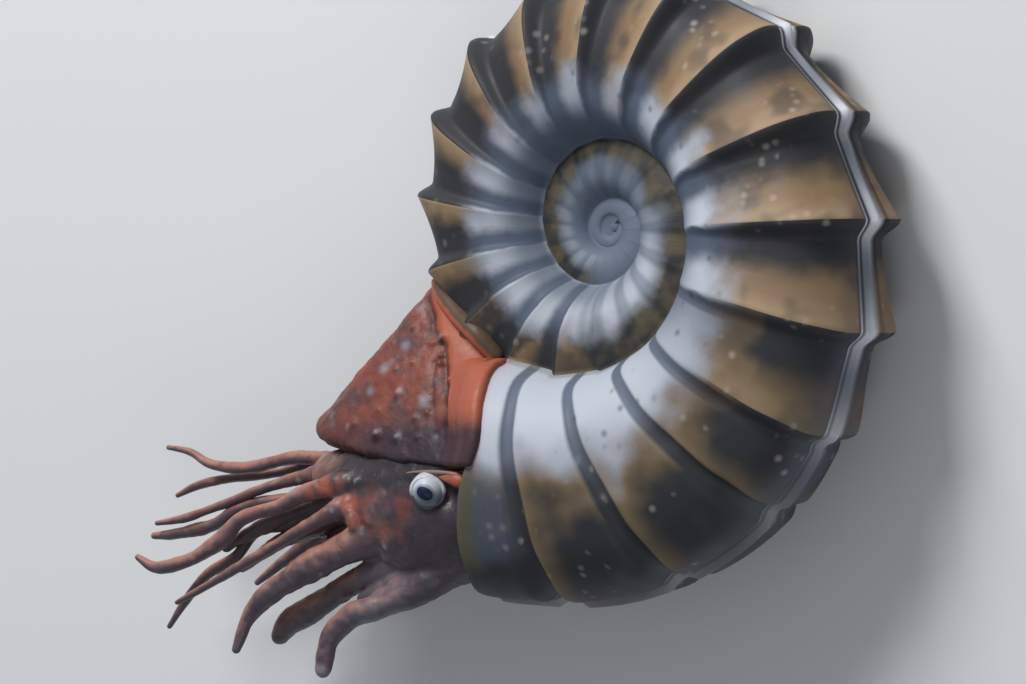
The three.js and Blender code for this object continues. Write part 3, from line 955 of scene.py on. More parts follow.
def melt(pieces, name, voxel, smoothing, relief, marks):
    """One skin round all pieces, with relief in mm along the normals and masks for the finish."""
    body = join(pieces, name)
    body.data.remesh_voxel_size = voxel
    bpy.ops.object.voxel_remesh()
    modifier = body.modifiers.new("smooth", "SMOOTH")
    modifier.factor = 0.5
    modifier.iterations = smoothing
    bpy.ops.object.modifier_apply(modifier=modifier.name)
    points = read_points(body.data)
    outwards = read_points(body.data, "normal")
    moved = points + outwards * relief(points)[:, None]
    body.data.vertices.foreach_set("co", moved.ravel())
    body.data.update()
    set_marks(body, marks(points, outwards[:, 1]))
    bpy.ops.object.shade_smooth()
    return body


print("a fleshy piece carries four masks")

# %% [markdown]
# ## The hood
# The hood is a thick fleshy wedge between the coil and the head. Its ridge runs from the coil
# to the rounded tip above the arms, and its base goes into the shell's mouth. A place on it is
# given by along, which is 0 at the coil and 1 at the tip, and level, which is 0 on the ridge
# and 1 at the base.

# %% Shape the hood's wedge
HOOD_TOP = (-66, -15)
HOOD_TIP = (-116.4, -64.4)
RIDGE_HOLLOW = (0.592, -0.536)
HOOD_BASE_TOP = (-29, -42)
HOOD_BASE_END = (-36, -75.8)
HOOD_SAG = 4
NOSE_PULL = (2.85, 2.508)
NOSE_SIZE = 7.5
THIRDS = (0, 0.5, 1)
RIDGE_WIDTHS = (5, 8, 6)
BASE_WIDTHS = (13, 22, 29)
WIDENING = 0.6
RIDGE_ROUNDING = 0.1
TOP_ROUNDING = 0.08
TIP_ROUNDING = 0.1
EDGE_PLACES = (0, 0.05, 0.18, 0.4, 0.82, 0.95, 1)
EDGE_WIDTHS = (0.6, 0.82, 0.95, 1, 1, 0.99, 0.96)
HOOD_STEPS = (80, 90)
ROWS_TO_RIDGE = 1.4
COLUMNS_TO_ENDS = 0.7


def hood_surface(along, level):
    """Place and half width of the hood's near side."""
    ridge = mix(np.array(HOOD_TOP), np.array(HOOD_TIP), along[..., None])
    ridge += np.array(RIDGE_HOLLOW) * np.sin(math.pi * along)[..., None]
    base = mix(np.array(HOOD_BASE_TOP), np.array(HOOD_BASE_END), along[..., None])
    place = mix(ridge, base, level[..., None])
    place[..., 1] -= HOOD_SAG * np.sin(math.pi * level) * along**2
    from_nose = np.linalg.norm(place - HOOD_TIP, axis=-1)
    place += np.array(NOSE_PULL) * np.exp(-((from_nose / NOSE_SIZE) ** 2))[..., None]
    at_ridge, at_base = np.interp(along, THIRDS, RIDGE_WIDTHS), np.interp(along, THIRDS, BASE_WIDTHS)
    width = mix(at_ridge, at_base, level**WIDENING)
    for distance, rounding in ((level, RIDGE_ROUNDING), (along, TOP_ROUNDING), (1 - along, TIP_ROUNDING)):
        width = width * np.sqrt(1 - (1 - np.clip(distance / rounding, 0, 1)) ** 2)
    return np.concatenate([place, (width * np.interp(along, EDGE_PLACES, EDGE_WIDTHS))[..., None]], -1)


def hood_wedge():
    rows, columns = HOOD_STEPS
    level = np.linspace(0, 1, rows)[:, None] ** ROWS_TO_RIDGE + np.zeros(columns)
    spread = (1 - np.cos(np.linspace(0, math.pi, columns))) / 2
    along = mix(np.linspace(0, 1, columns), spread, COLUMNS_TO_ENDS) + np.zeros((rows, 1))
    near = hood_surface(along, level)
    return closed_loft("wedge", np.concatenate([near, near[:, ::-1] * (1, 1, -1), near[:, :1]], 1))


wedge = hood_wedge()
print("the wedge has", len(wedge.data.polygons), "faces")

# %% [markdown]
# ## The hood's edges
# Two soft edges tie the hood to the shell. A rim lies over the ends of the coil's ribs, and is
# a fold of growing thickness. Beside the mouth, an apron rises from the hood and rolls over the
# lip. Its section is drawn once and follows the lip's own line, so it can't part from the shell.

# %% Make the rim and the aprons
HOOD_RIM = (
    # x, y, z, radius
    (-64.5, -16.0, 4.0, 1.6),
    (-58.3, -21.6, 7.5, 2.2),
    (-51.0, -26.9, 10.5, 2.4),
    (-42.2, -32.1, 14.2, 2.5),
    (-37.6, -37.1, 12.8, 2.4),
    (-34.4, -41.1, 11.5, 2.0),
)
APRON = (
    # step towards the shell and rise from the lip's edge, in mm, round the apron's section
    (1.5, 0.0), (1.1, 1.0), (0, 1.3), (-3, 0.9), (-7, -1.6), (-11, -5.4), (-16, -9.6), (-22, -12.4),
    (-27, -13.6), (-27, -18), (-8, -18), (0, -8), (1, -2), (1.5, 0.0),
)
APRON_FALL = (
    # place across the shell's section, and how much of the section's fall is left there
    (6.5, 0.95), (7.2, 1.0), (8.4, 1.0), (9.0, 0.74), (9.5, 0.5), (9.8, 0.36),
)
APRON_ENDS = (0.6, math.pi - 0.5)


def make_aprons():
    """The hood's edge on both sides, which lies over the lip between the seam and the eye."""
    ring, spots = mouth_ring(LIP_TURN, 0)
    keel = SEAM * STEPS_PER_SPAN
    near_side = slice(keel, 2 * keel + 1)
    ring, spots = ring[near_side], spots[near_side]
    places, falls = zip(*APRON_FALL)
    used = (spots >= places[0]) & (spots <= places[-1])
    line = ring[used]
    sizes = np.sin(np.linspace(*APRON_ENDS, len(line)))[:, None] ** 0.5
    fall = np.interp(spots[used], places, falls)[:, None]
    steps, rises = np.array(APRON).T
    rises = np.where(rises < 0, rises * fall, rises * sizes)
    rings = line[:, None] + np.stack([steps * sizes, 0 * rises, rises], -1)
    return [closed_loft("apron", rings * (1, 1, side)) for side in (1, -1)]


edges = folds(HOOD_RIM) + make_aprons()
print("the hood has", len(edges), "soft edges")

# %% [markdown]
# ## The hood's skin
# A crease divides a smooth orange fold beside the shell from the warty skin in front of it, and
# a shorter one runs next to it. Each wart is raised by a soft round bump, with a painted highlight
# on its top and a dark spot below it, partly a dark dot of the skin and partly painted shadow. The
# masks for the finish are made here too, from the same lists, with painted shade in the creases
# and where the skin faces down.

# %% Warts and creases of the hood
HOOD_VOXEL = 0.5
HOOD_SMOOTHING = 4
CREASE = (
    (-66, -22), (-63, -27), (-61.4, -31.3), (-56, -36), (-54.1, -42), (-51.2, -49), (-49, -56),
    (-48, -61),
)
SIDE_CREASE = ((-58.4, -41), (-55.8, -55.5))
SIDE_SHARE = 0.6
CREASE_DEPTH = 1.5
CREASE_WIDTH, SIDE_WIDTH = 1.9, 1.0
DARK_WIDTH, SIDE_DARK_WIDTH = 1.5, 0.9
# the creases fade out towards the ridge, between these distances from the middle
RIDGE_FADE = (3, 7)
FOLD_HEIGHT = 0.9
FOLD_EDGE = (-1, 4)
RIM_SHIFT = (1.3, 1.4)
RIM_WIDTH = 2.6
WARTS = (
    # x, y, z, radius, height in mm
    (-69.4, -30.3, 9.0, 1.3, 1.2),
    (-76.4, -35.4, 9.6, 1.0, 0.9),
    (-67.1, -41.4, 13.1, 1.0, 0.9),
    (-73.1, -43.8, 13.1, 1.0, 0.9),
    (-57.7, -33.6, 11.6, 1.6, 1.4),
    (-63.0, -29.4, 10.1, 1.9, 0.8),
    (-60.4, -35.4, 11.4, 1.0, 0.8),
    (-50.2, -47.0, 16.2, 1.1, 1.4),
    (-47.8, -53.5, 18.8, 1.1, 1.3),
    (-62.0, -58.6, 18.7, 1.2, 1.0),
    (-57.0, -56.9, 18.9, 1.2, 1.0),
    (-70.3, -51.2, 15.4, 1.9, 1.3),
    (-88.0, -51.6, 12.0, 1.1, 1.1),
    (-87.9, -55.8, 13.0, 1.0, 0.9),
    (-87.9, -60.4, 14.2, 1.5, 1.0),
    (-93.6, -64.2, 13.4, 1.2, 1.0),
    (-105.2, -64.2, 7.8, 1.2, 0.8),
    (-77.1, -64.0, 17.5, 2.2, 1.7),
    (-68.5, -65.1, 19.3, 1.6, 1.1),
    (-59.6, -64.6, 20.6, 1.3, 0.9),
    (-48.7, -58.5, 20.2, 1.7, 0.9),
    (-56.4, -39.0, 13.2, 1.0, 1.6),
    (-56.1, -41.5, 13.8, 1.0, 1.4),
    (-82.0, -44.4, 11.0, 0.9, 0.8),
    (-78.0, -56.0, 15.4, 1.3, 0.7),
)
# painted shadow below each wart, partly a dark dot of the skin, and a painted highlight on its top
WART_SHADOW = ((0.2, -1.3, 0), 0.75)
WART_HIGHLIGHT = ((0, 0.4, 0), 0.6)
HOOD_PATCHES = (
    # x, y, z, radius, strength
    (-71.0, -36.4, 10.8, 2.4, 0.8),
    (-77.6, -43.5, 11.9, 2.9, 0.9),
    (-82.5, -50.3, 13.1, 2.2, 0.8),
    (-59.5, -53.0, 17.5, 2.7, 1.0),
    (-70.0, -50.2, 15.4, 1.6, 0.9),
    (-90.5, -61.4, 13.8, 1.9, 0.8),
    (-51.9, -64.6, 21.8, 1.7, 0.7),
    (-68.5, -25.2, 6.5, 2.2, 0.7),
    (-58.2, -33.0, 11.6, 1.4, 0.9),
    (-68.0, -41.8, 12.8, 1.7, 0.5),
    (-76.6, -63.0, 17.5, 1.3, 0.7),
    (-67.6, -64.0, 19.3, 1.4, 0.6),
    (-104.0, -62.0, 7.8, 2.2, 0.3),
)


def near_line(points, line, width):
    return np.exp(-((along_line(points, line) / width) ** 2))


def beside_crease(points):
    """0 in front of the crease and 1 beside the shell."""
    heights = [-y for _, y in CREASE]
    line = np.interp(-points[:, 1], heights, [x for x, _ in CREASE])
    return smooth_step(points[:, 0] - line, *FOLD_EDGE)


def off_ridge(points):
    return smooth_step(abs(points[:, 2]), *RIDGE_FADE)


def hood_relief(points):
    fold = beside_crease(points)
    groove = near_line(points, CREASE, CREASE_WIDTH)
    groove += SIDE_SHARE * near_line(points, SIDE_CREASE, SIDE_WIDTH)
    groove *= off_ridge(points) * (0.75 + 0.5 * lumps(points, 4, 8))
    rough = (1 - 0.75 * fold) * (0.6 * lumps(points, 7) + 0.25 * lumps(points, 2.6, 5))
    return blobs(points, WARTS) + FOLD_HEIGHT * fold - CREASE_DEPTH * groove + rough


def hood_marks(points, upwards):
    """Pale patches with painted highlights on the warts, the smooth fold, painted shade in the
    creases, under the warts and where the skin faces down, and the rim.
    """
    rim_line = [(x + RIM_SHIFT[0], y + RIM_SHIFT[1]) for x, y, _, _ in HOOD_RIM]
    groove = near_line(points, CREASE, DARK_WIDTH) * (0.6 + 0.9 * lumps(points, 5, 8))
    groove += near_line(points, SIDE_CREASE, SIDE_DARK_WIDTH) * SIDE_SHARE
    # painted shade in the creases and under the warts
    dark = np.maximum(groove * off_ridge(points), blobs(points, WARTS, *WART_SHADOW))
    # painted shade where the skin faces down
    dark = np.maximum(dark, 0.7 * smooth_step(upwards, -0.35, -0.9))
    pale = blobs(points, HOOD_PATCHES) + 0.25 * blobs(points, WARTS, *WART_HIGHLIGHT)
    return pale, beside_crease(points), dark, near_line(points, rim_line, RIM_WIDTH)


hood = melt([wedge] + edges, "hood_skin", HOOD_VOXEL, HOOD_SMOOTHING, hood_relief, hood_marks)

# %% [markdown]
# ## The hood's colours
# The hood is brick red and rough with a bright orange fold, pale bluish patches and an olive rim,
# which is partly painted shade where it meets the whorl. Painted shade turns it dark purple
# towards its underside, and dark brown in its creases and under its warts, where it also has
# dark dots.

# %% Finish of the hood
BRICK = tone(122, 66, 54)
PURPLE_BROWN = tone(86, 60, 60)
BRIGHT_ORANGE = tone(164, 86, 62)
PATCH_BLUE = tone(142, 142, 152)
SHADE_AND_DOT_BROWN = tone(38, 29, 30)
RIM_OLIVE = tone(68, 63, 50)
SHADE_PURPLE = tone(46, 39, 49)


def hood_finish():
    finish = Finish("hood_finish")
    place = finish.place()
    forward, height = finish.parts(place)
    pale, fold, dark, rim = finish.marks()
    broad = finish.noise(place, 10) - 0.5
    fine = finish.noise(place, 2.6) - 0.5
    shade = (height + broad * 8 + fine * 3).ramp(-56, -64) * (0.55 + 0.45 * forward.ramp(-95, -68))
    mottle = finish.noise(place, 6).ramp(0.56, 0.72) * (1 - fold) * (1 - shade)
    colour = finish.layers(
        BRICK,
        (PURPLE_BROWN, (broad + fine * 0.6).ramp(-0.1, 0.2)),
        (BRIGHT_ORANGE, (fold + broad + fine * 0.5).ramp(0.2, 0.9) * 0.85),
        (SHADE_PURPLE, shade * 0.92),
        (PATCH_BLUE, (pale + fine * 0.7).ramp(0.15, 1.05) * 0.7),
        (PATCH_BLUE, mottle * 0.28),
        # painted shade in the creases, under the warts and where the skin faces down, with dark dots
        (SHADE_AND_DOT_BROWN, dark * 0.8),
        # the dark olive rim is partly painted shade where the hood meets the whorl
        (RIM_OLIVE, (rim + fine * 0.3).ramp(0.35, 0.7) * 0.9),
    )
    finish.feed("Base Color", colour)
    finish.feed("Roughness", 0.5 + fine * 0.3)
    finish.feed("Specular IOR Level", 0.3)
    rough = (finish.noise(place, 1.2) * 0.5 + finish.noise(place, 0.5) * 0.15) * (1 - fold * 0.7)
    finish.bump(rough, 0.45)
    return finish.paint


put_in_place(hood, "hood", hood_finish())

# %% [markdown]
# ## The colours of head and arms
# Head and arms share one finish: brown pink where the skin faces up and purple-grey below, which
# is painted light and shade, orange where the arms spring, painted deep shade under the hood and
# painted shade where the face goes back into the shell's mouth, with scattered pale spots, one of
# them a painted highlight on the root of an arm.

# %% Finish of head and arms
DEEP_SHADE = tone(34, 33, 41)
PINK_BROWN = tone(154, 110, 96)
PURPLE_GREY = tone(72, 62, 70)
RUST = tone(112, 60, 50)
LOW_GREY = tone(104, 99, 110)
PALE_GREY = tone(130, 130, 141)
ORANGE_ZONES = (
    # x, y, z, radius, strength
    (-97.0, -80.0, 17.5, 4.0, 1.0),
    (-103.0, -81.7, 17.5, 3.5, 0.7),
    (-91.0, -78.5, 17.0, 3.5, 0.7),
    (-87.4, -85.5, 18.5, 4.0, 0.9),
    (-86.0, -92.0, 18.5, 3.2, 0.8),
    (-80.0, -90.0, 19.5, 3.5, 0.5),
    (-73.6, -95.5, 19.0, 2.6, 0.5),
    (-44.0, -77.0, 25.5, 3.2, 1.0),
    (-140.0, -97.0, 16.0, 3.0, 0.3),
)
PALE_SPOTS = (
    (-150.4, -101.9, 15.0, 1.6, 0.9),
    (-117.4, -78.5, 4.5, 1.8, 0.8),
    (-85.2, -78.3, 18.5, 1.5, 0.8),
    (-80.0, -106.1, 9.6, 1.8, 0.8),
    (-100.2, -107.5, 16.0, 1.4, 0.7),
    (-103.8, -100.5, 16.5, 1.6, 0.7),
    (-108.0, -102.5, 16.5, 1.4, 0.6),
    (-133.2, -105.2, -8.6, 1.4, 0.7),
    (-95.3, -100.0, 17.7, 1.4, 0.8),
    (-74.2, -98.9, 17.8, 1.6, 0.8),
    (-101.5, -137.5, 14.0, 3.2, 0.9),
    # a painted highlight on the knob at the root of arm_05
    (-110.0, -81.5, 17.5, 1.6, 0.9),
    (-93.7, -87.3, 19.0, 1.5, 0.9),
    (-86.0, -94.0, 20.0, 1.6, 0.7),
    (-70.0, -84.0, 22.5, 1.3, 0.3),
    (-66.0, -91.0, 21.5, 1.5, 0.35),
    (-61.0, -97.0, 19.5, 1.8, 0.3),
    (-79.0, -84.0, 20.0, 1.4, 0.3),
)


def flesh_marks(points, lit_side):
    """Pale spots, orange zones, dark places, and the sides that face up, which get painted light."""
    dark = 0.5 * smooth_step(lumps(points, 4, 2), 0.25, 0.6)
    return blobs(points, PALE_SPOTS), blobs(points, ORANGE_ZONES), dark, lit_side


def flesh_finish(name):
    finish = Finish(name)
    place = finish.place()
    forward, height = finish.parts(place)
    pale, warm, dark, lit_side = finish.marks()
    broad = finish.noise(place, 11) - 0.5
    fine = finish.noise(place, 3) - 0.5
    low = (height + broad * 8).ramp(-96, -108) * forward.ramp(-98, -80)
    rust = finish.noise(place, 7, 2).ramp(0.42, 0.64) * height.ramp(-104, -90)
    rust = rust * forward.ramp(-50, -64) * (0.5 + 0.5 * forward.ramp(-108, -96))
    under_hood = (height + broad * 6).ramp(-85, -78) * forward.ramp(-106, -92)
    colour = finish.layers(
        PURPLE_GREY,
        # painted light: brown pink on the sides that face up, purple-grey below
        (PINK_BROWN, (lit_side + broad * 0.8 + fine * 0.4).ramp(0.3, 0.9)),
        (LOW_GREY, low * 0.55),
        # painted shade where the face goes back into the mouth, and dark mottling
        (SHADE_PURPLE, (forward.ramp(-80, -62) * 0.75) | (dark * 0.7)),
        (RUST, rust * 0.7),
        (DEEP_SHADE, under_hood * 0.9),
        (BRIGHT_ORANGE, (warm + fine * 0.5).ramp(0.2, 0.9) * 0.75),
        (PALE_GREY, (pale + fine * 0.35).ramp(0.3, 0.9) * 0.7),
        (PALE_GREY, finish.spots(place, 3.0, 0.7, 0.3) * 0.2),
    )
    finish.feed("Base Color", colour)
    finish.feed("Roughness", 0.42 + fine * 0.25)
    finish.bump(finish.noise(place, 1.3) * 0.4 + finish.noise(place, 0.5) * 0.12, 0.4)
    return finish.paint


arm_paint = flesh_finish("arm_finish")
print("the finish of the arms has", len(arm_paint.node_tree.nodes), "nodes")

# %% [markdown]
# ## Arms
# An arm is a tube round a route through given bends, each with its own radius. The skin
# swells a little at random, and the tip is rounded.

# %% Make the arms
ARMS = {
    "arm_01": (
        (-101, -76, -2, 2.8), (-111, -72, -2.5, 2.2), (-122, -71, -3, 1.8), (-145, -74.5, -5, 1.6),
        (-160, -73, -7, 1.3), (-168, -69.5, -8, 1.1), (-178, -68, -9, 0.7),
    ),
    "arm_02": (
        (-104, -74, -8, 2.4), (-117, -73.5, -8.5, 2), (-136, -76, -10, 1.5), (-152, -77.5, -11, 1.3),
        (-168, -80, -12.5, 1.2), (-178, -83.5, -14, 0.7),
    ),
    "arm_03": (
        (-101, -78, 3, 2.4), (-113, -77, 2.5, 2), (-131, -80.5, 2, 1.5), (-149, -86, 1, 1.3),
        (-165, -90.5, 0.5, 1.2), (-176, -92, 0, 0.7),
    ),
    "arm_04": (
        (-105, -82, 2, 2.4), (-116, -83.5, 1.5, 2), (-136, -85.5, 0.5, 1.7), (-144, -87.5, 0, 1.7),
        (-153, -92, -1, 1.9), (-168, -95, -2.5, 1.7), (-180, -96, -3.7, 0.9),
    ),
    "arm_05": (
        (-84, -80, 11, 3.6), (-93, -79.5, 15, 3.2), (-108, -82.5, 15, 2.6), (-116, -86, 15, 2.2),
        (-132, -90.5, 14.5, 2.1), (-141, -97.5, 14, 2.4), (-155, -104, 14, 2), (-166, -105.5, 13.5, 1.6),
        (-174, -102, 13, 0.8),
    ),
    "arm_06": (
        (-94, -83, 7, 2.6), (-105, -85, 8.5, 2.3), (-116, -91, 8, 1.9), (-132, -94.5, 7, 1.7),
        (-140, -102, 6, 1.6), (-153, -108.5, 5, 1.5), (-162, -117, 3.5, 1.2), (-169, -125, 2.5, 0.7),
    ),
    "arm_07": (
        (-84, -84, 12, 3), (-92, -86.5, 16, 2.5), (-104, -92, 17, 1.9), (-119, -99, 16, 1.6),
        (-140, -109, 15, 1.3), (-158, -117, 14, 0.7),
    ),
    "arm_08": (
        (-101, -85, -6, 3), (-112, -91, -8, 2.6), (-124, -98.5, -9, 2.1), (-136, -105.5, -10, 1.6),
        (-145, -111, -11, 0.8),
    ),
    "arm_09": (
        (-77, -92, 9, 5), (-88, -97.5, 13, 4.5), (-105, -105, 14, 4.1), (-119, -112.5, 15, 3.3),
        (-128, -120, 15, 2.3), (-133.5, -132.5, 16, 1),
    ),
    "arm_10": (
        (-73, -100, 4, 4.4), (-83, -105, 6.5, 3.9), (-98, -111.5, 6, 3.5), (-112, -118.5, 5, 3.7),
        (-120, -122.5, 4.5, 3.3), (-127, -129, 3.5, 2.1),
    ),
    "arm_11": (
        (-54, -103, 7.5, 3), (-66, -112, 10.5, 4), (-82, -117.5, 11, 3.6), (-93, -121, 11, 3.5),
        (-100, -128, 12, 3), (-102.5, -140, 12.5, 2),
    ),
}
ARM_STEP = 0.55
ARM_SIDES = 36
ARM_GIRTH = 1.12
ARM_SWELLING = 0.22


def make_arm(name, bends):
    route = smooth_route(bends, ARM_STEP) * (1, 1, 1, ARM_GIRTH)
    sheet = laid_grid(name + "_skin", tube(route, ARM_SIDES, ARM_SWELLING))
    weld(sheet)
    # painted light: the side of an arm that faces up gets lighter
    lit_side = 0.5 + 0.5 * read_points(sheet.data, "normal")[:, 1]
    set_marks(sheet, flesh_marks(read_points(sheet.data), lit_side))
    return sheet


for name, bends in ARMS.items():
    put_in_place(make_arm(name, bends), name, arm_paint)

# %% [markdown]
# ## Skull and neck
# The head is put together from many bodies, which are melted into one skin at the end. The
# skull is a loft through oval sections that tip forward with the face. The neck fills the
# shell's mouth, so its rings are the mouth's own outline, a little smaller.

# %% Make the skull and the neck
HEAD_SECTIONS = (
    # x, y, height, half width, tip: the top tips forward by this many degrees
    (-35, -79, 26, 25.5, -22),
    (-46, -81.5, 28.5, 25, -14),
    (-58, -83.5, 28, 24, -8),
    (-70, -84.5, 26, 22.5, 0),
    (-82, -85, 22.5, 19.5, 8),
    (-93, -84, 18, 16.5, 18),
    (-102, -81.5, 13, 13, 28),
    (-109, -79, 7, 8, 34),
)
SECTION_STEP = 2
OVAL_POINTS = 65
NECK_GAP = 0.3
NECK_DEPTHS = (1.9, 1.4, 0.9, 0.4, 0.1)


def make_skull():
    sections = [(x, y, 0, height, width, tip) for x, y, height, width, tip in HEAD_SECTIONS]
    angle = np.linspace(0, 2 * math.pi, OVAL_POINTS)[:, None]
    side = np.array((0, 0, 1))
    rings = []
    for x, y, _, height, width, tip in smooth_route(sections, SECTION_STEP):
        up = np.array((-math.sin(math.radians(tip)), math.cos(math.radians(tip)), 0))
        rings.append((x, y, 0) + np.cos(angle) * height * up + np.sin(angle) * width * side)
    return closed_loft("head_skin", rings)


def make_neck():
    turns = [LIP_TURN - depth / RINGS_PER_TURN for depth in NECK_DEPTHS]
    return closed_loft("neck", [mouth_ring(turn, -(WALL + NECK_GAP))[0] for turn in turns])


head_parts = [make_skull(), make_neck()]
print("the skull has", len(head_parts[0].data.polygons), "faces")

# %% [markdown]
# ## Mounds round the eyes
# The skin rises in a mound round each eye. A ball that sits deeper than the eye gives it, and
# looks the same way as the eye's lid will.

# %% Make the mounds
LID_FACING = Vector((0.42, -0.13, 0.9)).normalized()
MOUND_RADIUS = 6.6
MOUND_DEPTH = 2.8


def on_side(vector, side):
    """The same place or direction on the near side, 1, or on the far side, -1."""
    return Vector((vector.x, vector.y, side * vector.z))


def make_mound(side):
    centre = on_side(EYE_PLACE - LID_FACING * MOUND_DEPTH, side)
    size = {"segments": 32, "ring_count": 20, "radius": MOUND_RADIUS}
    bpy.ops.object.select_all(action="DESELECT")
    bpy.ops.mesh.primitive_uv_sphere_add(location=centre, **size)
    bpy.ops.object.transform_apply(location=True, rotation=False, scale=False)
    return bpy.context.object


head_parts += [make_mound(1), make_mound(-1)]
print("the mounds lie", MOUND_DEPTH, "mm deeper than the eyes")

# %% [markdown]
# ## Roots, lobes and webs
# An arm doesn't start at a clean edge. Its root is thicker and narrows until it is inside the
# arm, and webs of skin run on between neighbours. The lowest arm comes out of a sleeve. Two
# lobes on each side fill the places where the arms leave the face.

# %% Make the roots, the lobes and the webs
BODY_STEP = 1
ROOT_LENGTH = 14
ROOT_GIRTHS = (1.75, 0.88)
LOBES = (
    ((-84, -82, 14, 2.8), (-89, -85.5, 16.5, 3), (-87, -90, 17.5, 2.5), (-85.6, -94.4, 17.6, 2.6)),
    ((-98, -76, 0, 4.6), (-108, -76, 1, 4.2), (-116, -77, 2.2, 2.6), (-121, -78, 2.4, 1.4)),
)
WEBS = (
    ((-86, -86, 4, 5.5), (-104, -90.5, 3, 4.4), (-120, -95, 1, 3), (-134, -99, -1, 1.4)),
    ((-80, -90, 6, 5), (-96, -96, 5, 3.6), (-112, -101.5, 4, 2.2), (-122, -105, 3, 1)),
    ((-94, -84, 9, 3.4), (-112, -87.5, 9, 2.8), (-130, -93.5, 8.5, 2.4), (-144, -100.5, 8, 1.2)),
    ((-96, -88, 8, 3.4), (-114, -94, 7, 2.8), (-128, -100, 6, 2.2), (-140, -107, 5, 1)),
    ((-42, -97, 6, 7.4), (-54, -104, 7.6, 6.6), (-64, -109.6, 9, 5.7), (-76, -114.6, 10, 4.8),
     (-87, -118.6, 10.8, 3)),
    ((-58, -102, 6, 6), (-72, -107.5, 6.5, 4.8), (-83, -112, 7.4, 3.1), (-92, -115.8, 8.2, 1.2)),
)


def make_root(bends):
    """The thick start of an arm, which narrows until it is inside the arm."""
    route = smooth_route(bends, BODY_STEP)
    route = route[: round(np.linalg.norm(np.subtract(bends[1], bends[0])[:3]) + ROOT_LENGTH)]
    route[:, 3] *= np.linspace(*ROOT_GIRTHS, len(route))
    return closed_loft("root", tube(route))


head_parts += [make_root(bends) for bends in ARMS.values()]
for bends in LOBES:
    head_parts += folds(bends)
head_parts += [closed_loft("web", tube(smooth_route(bends, BODY_STEP))) for bends in WEBS]

# %% [markdown]
# ## The head's skin
# The same lumps as on the hood make the skin uneven, with soft bumps where the picture shows
# them. A shallow socket gives the corner behind the eye. All of it fades out towards the neck,
# so that the neck still fits the mouth.

# %% Melt the head
HEAD_VOXEL = 0.65
HEAD_SMOOTHING = 6
NECK_FADE = (-34, -44)
SOCKET = ((-46, -82.5, 25, 6.5, 3.6),)
HEAD_BUMPS = (
    # x, y, z, radius, height of soft bumps
    (-77.4, -102.6, 12.7, 1.6, 0.9),
    (-74.0, -98.9, 17.3, 1.8, 0.8),
    (-80.0, -91.0, 19.0, 2.0, 0.8),
    (-70.0, -89.0, 22.0, 2.2, 0.6),
    (-63.0, -93.0, 21.5, 2.6, 0.6),
    (-72.0, -83.0, 22.4, 1.8, 0.5),
    (-57.0, -99.0, 19.0, 2.4, 0.5),
    (-85.2, -78.3, 18.0, 1.7, 0.8),
)


def head_relief(points):
    rough = 0.5 * lumps(points, 6) + 0.22 * lumps(points, 2.4, 4)
    raised = rough + blobs(points, HEAD_BUMPS) - blobs(points, SOCKET)
    return smooth_step(points[:, 0], *NECK_FADE) * raised


def head_marks(points, upwards):
    # painted light: lighter where the head's skin faces up
    return flesh_marks(points, 0.45 + 0.35 * upwards + 0.3 * lumps(points, 9, 7))


head = melt(head_parts, "head_skin", HEAD_VOXEL, HEAD_SMOOTHING, head_relief, head_marks)
put_in_place(head, "head", flesh_finish("head_finish"))

# %% [markdown]
# ## Brows
# A thin pale fold runs over each eye, and an orange one fills the corner between the eye and
# the lip. They are smoother than the head, so they are tubes of their own that sink into it.

# %% Make the brows
CREAM = tone(122, 105, 95)
FOLD_STEP = 0.5
BROW = (
    (-64, -75.8, 21.7, 0.3), (-59, -75.4, 23.0, 0.45), (-52, -75.3, 24.7, 0.6),
    (-45, -75.6, 25.7, 0.6), (-40, -76.2, 26.1, 0.5),
)
EYE_CORNER = (
    (-49.5, -76.4, 23.6, 0.8), (-44.5, -77.2, 24.4, 2), (-40.5, -77.9, 24.8, 2.4), (-37, -78.2, 24, 2),
)


def fold_finish(name, first, second):
    finish = Finish(name)
    place = finish.place()
    share = finish.noise(place, 3).ramp(0.45, 0.75) * 0.7
    finish.feed("Base Color", finish.blend(first, second, share))
    finish.feed("Roughness", 0.5)
    finish.bump(finish.noise(place, 0.8), 0.2)
    return finish.paint


brows = join(folds(BROW, FOLD_STEP), "brows")
put_in_place(brows, None, fold_finish("brow_finish", CREAM, PINK_BROWN))
corners = join(folds(EYE_CORNER, FOLD_STEP), "eye_corners")
put_in_place(corners, None, fold_finish("corner_finish", BRIGHT_ORANGE, PURPLE_BROWN))

# %% [markdown]
# ## Eyeballs and lids
# An eye is a ball whose clear front swells a little round the pupil. It looks out sideways and
# slightly forward. A soft ring of skin, the lid, holds it. Both are made round the z axis,
# where a ball and a ring are simple, and then turned to look outwards.

# %% Shape the eyes and the lids
EYE_RADIUS = 6
GAZE = Vector((0.319, -0.18, 0.93)).normalized()
CORNEA_ANGLE = math.radians(34)
CORNEA_BULGE = 0.35
LID_OFFSET = 3.1
LID_HEIGHT = 0.88
LID_SIZE = {"major_segments": 72, "minor_segments": 20, "major_radius": 5.1, "minor_radius": 0.8}


def turn_outwards(piece, name, facing, side, offset):
    """Turns a piece that was made round the z axis to face outwards, and puts it at the eye."""
    piece.name = name
    facing = on_side(facing, side)
    turned = facing.to_track_quat("Z", "Y").to_matrix().to_4x4()
    piece.data.transform(Matrix.Translation(on_side(EYE_PLACE, side) + facing * offset) @ turned)
    bpy.ops.object.shade_smooth()
    return piece


